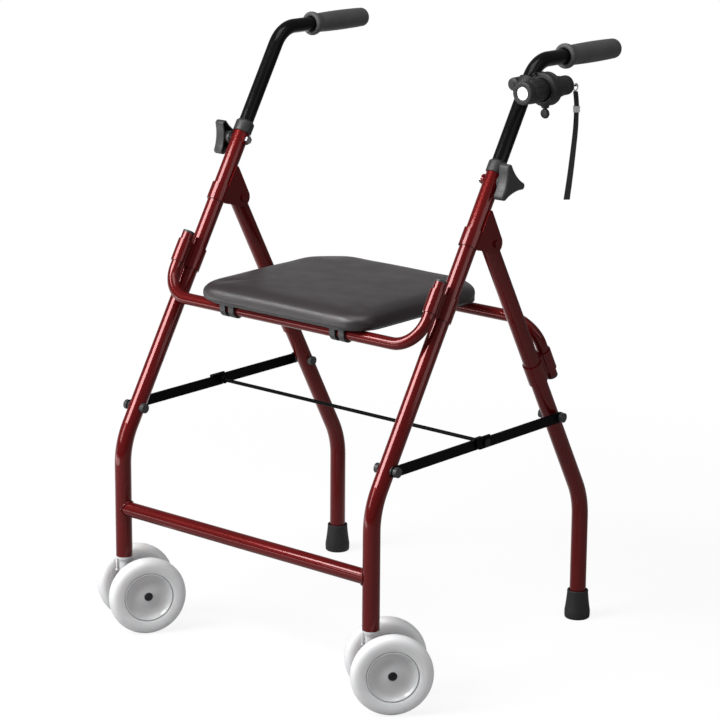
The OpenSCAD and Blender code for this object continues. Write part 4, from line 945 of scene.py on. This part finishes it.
# Seat cushion
def rounded_outline(half_x, half_y, back_r, front_r, per_corner=8, per_side=9):
    """A rectangle whose back corners are rounder than its front ones."""
    corners = ((1, 1, 0, back_r), (-1, 1, 90, back_r),
               (-1, -1, 180, front_r), (1, -1, 270, front_r))
    turns = [arc(cx * (half_x - r), cy * (half_y - r), r, start, start + 90, per_corner)
             for cx, cy, start, r in corners]
    points = []
    for k, turn in enumerate(turns):
        last, first = Vector(turn[-1]), Vector(turns[(k + 1) % 4][0])
        points += turn
        points += [tuple(last.lerp(first, i / (per_side + 1))) for i in range(1, per_side + 1)]
    return points


# The cover's section in millimetres: how far in from its outline, and how high
COVER = [(9.0, 2.4), (5.0, 2.0), (3.0, 2.2), (1.6, 3.2), (0.7, 5.2), (0.15, 8.4), (0.0, 11.6),
         (0.5, 14.8), (1.8, 17.7), (4.0, 20.2), (7.4, 22.3), (12.0, 23.8), (18.5, 24.7),
         (28.0, 25.1), (40.0, 25.3)]
COVER_OUT, CROWN, CROWN_RINGS = 1.2, 0.7, 9
BACK_CORNER, FRONT_CORNER, CORNER_TAPER = 58.0, 37.0, 0.6
CLOTH_STEPS, CLOTH_PRESSURE, CLOTH_STRETCH, CLOTH_BEND = 20, 4.0, 20.0, 2.0
CLOTH_HELD, SWELL_MOST = 6.0, 1.2


def cushion_mesh(low, high):
    """A cover drawn over foam and the board's edge: full sides, a broad roll and a crowned top."""
    mid = (low + high) / 2
    half_x = (high.x - low.x) / 2 + COVER_OUT * MM
    half_y = (high.y - low.y) / 2 + COVER_OUT * MM
    rings = []
    for inset, height in COVER:
        radii = [corner * MM - CORNER_TAPER * inset * MM for corner in (BACK_CORNER, FRONT_CORNER)]
        outline = rounded_outline(half_x - inset * MM, half_y - inset * MM, *radii)
        rings.append([Vector((mid.x + u, mid.y + v, low.z + height * MM)) for u, v in outline])
    last, top = rings[-1], COVER[-1][1]
    for k in range(1, CROWN_RINGS):
        t = k / CROWN_RINGS
        rise = (top + CROWN * math.sin(t * math.pi / 2)) * MM
        rings.append([Vector((mid.x + (p.x - mid.x) * (1 - t), mid.y + (p.y - mid.y) * (1 - t),
                              low.z + rise)) for p in last])
    count = len(rings[0])
    verts = [v for ring in rings for v in ring]
    verts.append(Vector((mid.x, mid.y, low.z + (top + CROWN) * MM)))
    faces = ring_faces(len(rings), count)
    first = (len(rings) - 1) * count
    for i in range(count):
        faces.append((first + i, first + (i + 1) % count, len(verts) - 1))
    faces.append(tuple(range(count - 1, -1, -1)))
    return verts, faces


def modifier_applied(obj):
    """The object's mesh with its modifiers applied, put in place of its own."""
    graph = bpy.context.evaluated_depsgraph_get()
    done = bpy.data.meshes.new_from_object(obj.evaluated_get(graph))
    obj.modifiers.clear()
    obj.data = done


def swell(cushion, floor):
    """Presses the cover out with a cloth simulation, held at its lower edge."""
    start = [v.co.copy() for v in cushion.data.vertices]
    held = cushion.vertex_groups.new(name="held")
    held.add([i for i, v in enumerate(start) if v.z < floor + CLOTH_HELD * MM], 1.0, "REPLACE")
    cloth = cushion.modifiers.new("cloth", "CLOTH")
    cloth.settings.use_pressure = True
    cloth.settings.uniform_pressure_force = CLOTH_PRESSURE
    cloth.settings.effector_weights.gravity = 0.0
    cloth.settings.vertex_group_mass = "held"
    cloth.settings.tension_stiffness = CLOTH_STRETCH
    cloth.settings.compression_stiffness = CLOTH_STRETCH
    cloth.settings.bending_stiffness = CLOTH_BEND
    cloth.point_cache.frame_start, cloth.point_cache.frame_end = 1, CLOTH_STEPS
    for step in range(1, CLOTH_STEPS + 1):
        scene.frame_set(step)
    modifier_applied(cushion)
    scene.frame_set(1)
    most = SWELL_MOST * MM
    for v, was in zip(cushion.data.vertices, start):
        shift = v.co - was
        if shift.length > most:
            v.co = was + shift.normalized() * most


def seat_cushion():
    low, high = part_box("seat_cushion")
    low.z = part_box("seat_board")[0].z
    verts, faces = cushion_mesh(low, high)
    mesh = bpy.data.meshes.new("cushion")
    mesh.from_pydata([tuple(v) for v in verts], [], faces)
    cushion = bpy.data.objects.new("cushion", mesh)
    scene.collection.objects.link(cushion)
    swell(cushion, low.z)
    smooth = cushion.modifiers.new("smooth", "SMOOTH")
    smooth.iterations, smooth.factor = 3, 0.5
    finer = cushion.modifiers.new("finer", "SUBSURF")
    finer.levels = finer.render_levels = 2
    modifier_applied(cushion)
    finish_piece(cushion, "seat_vinyl", "seat", ("seat_cushion",), 75.0)


seat_cushion()
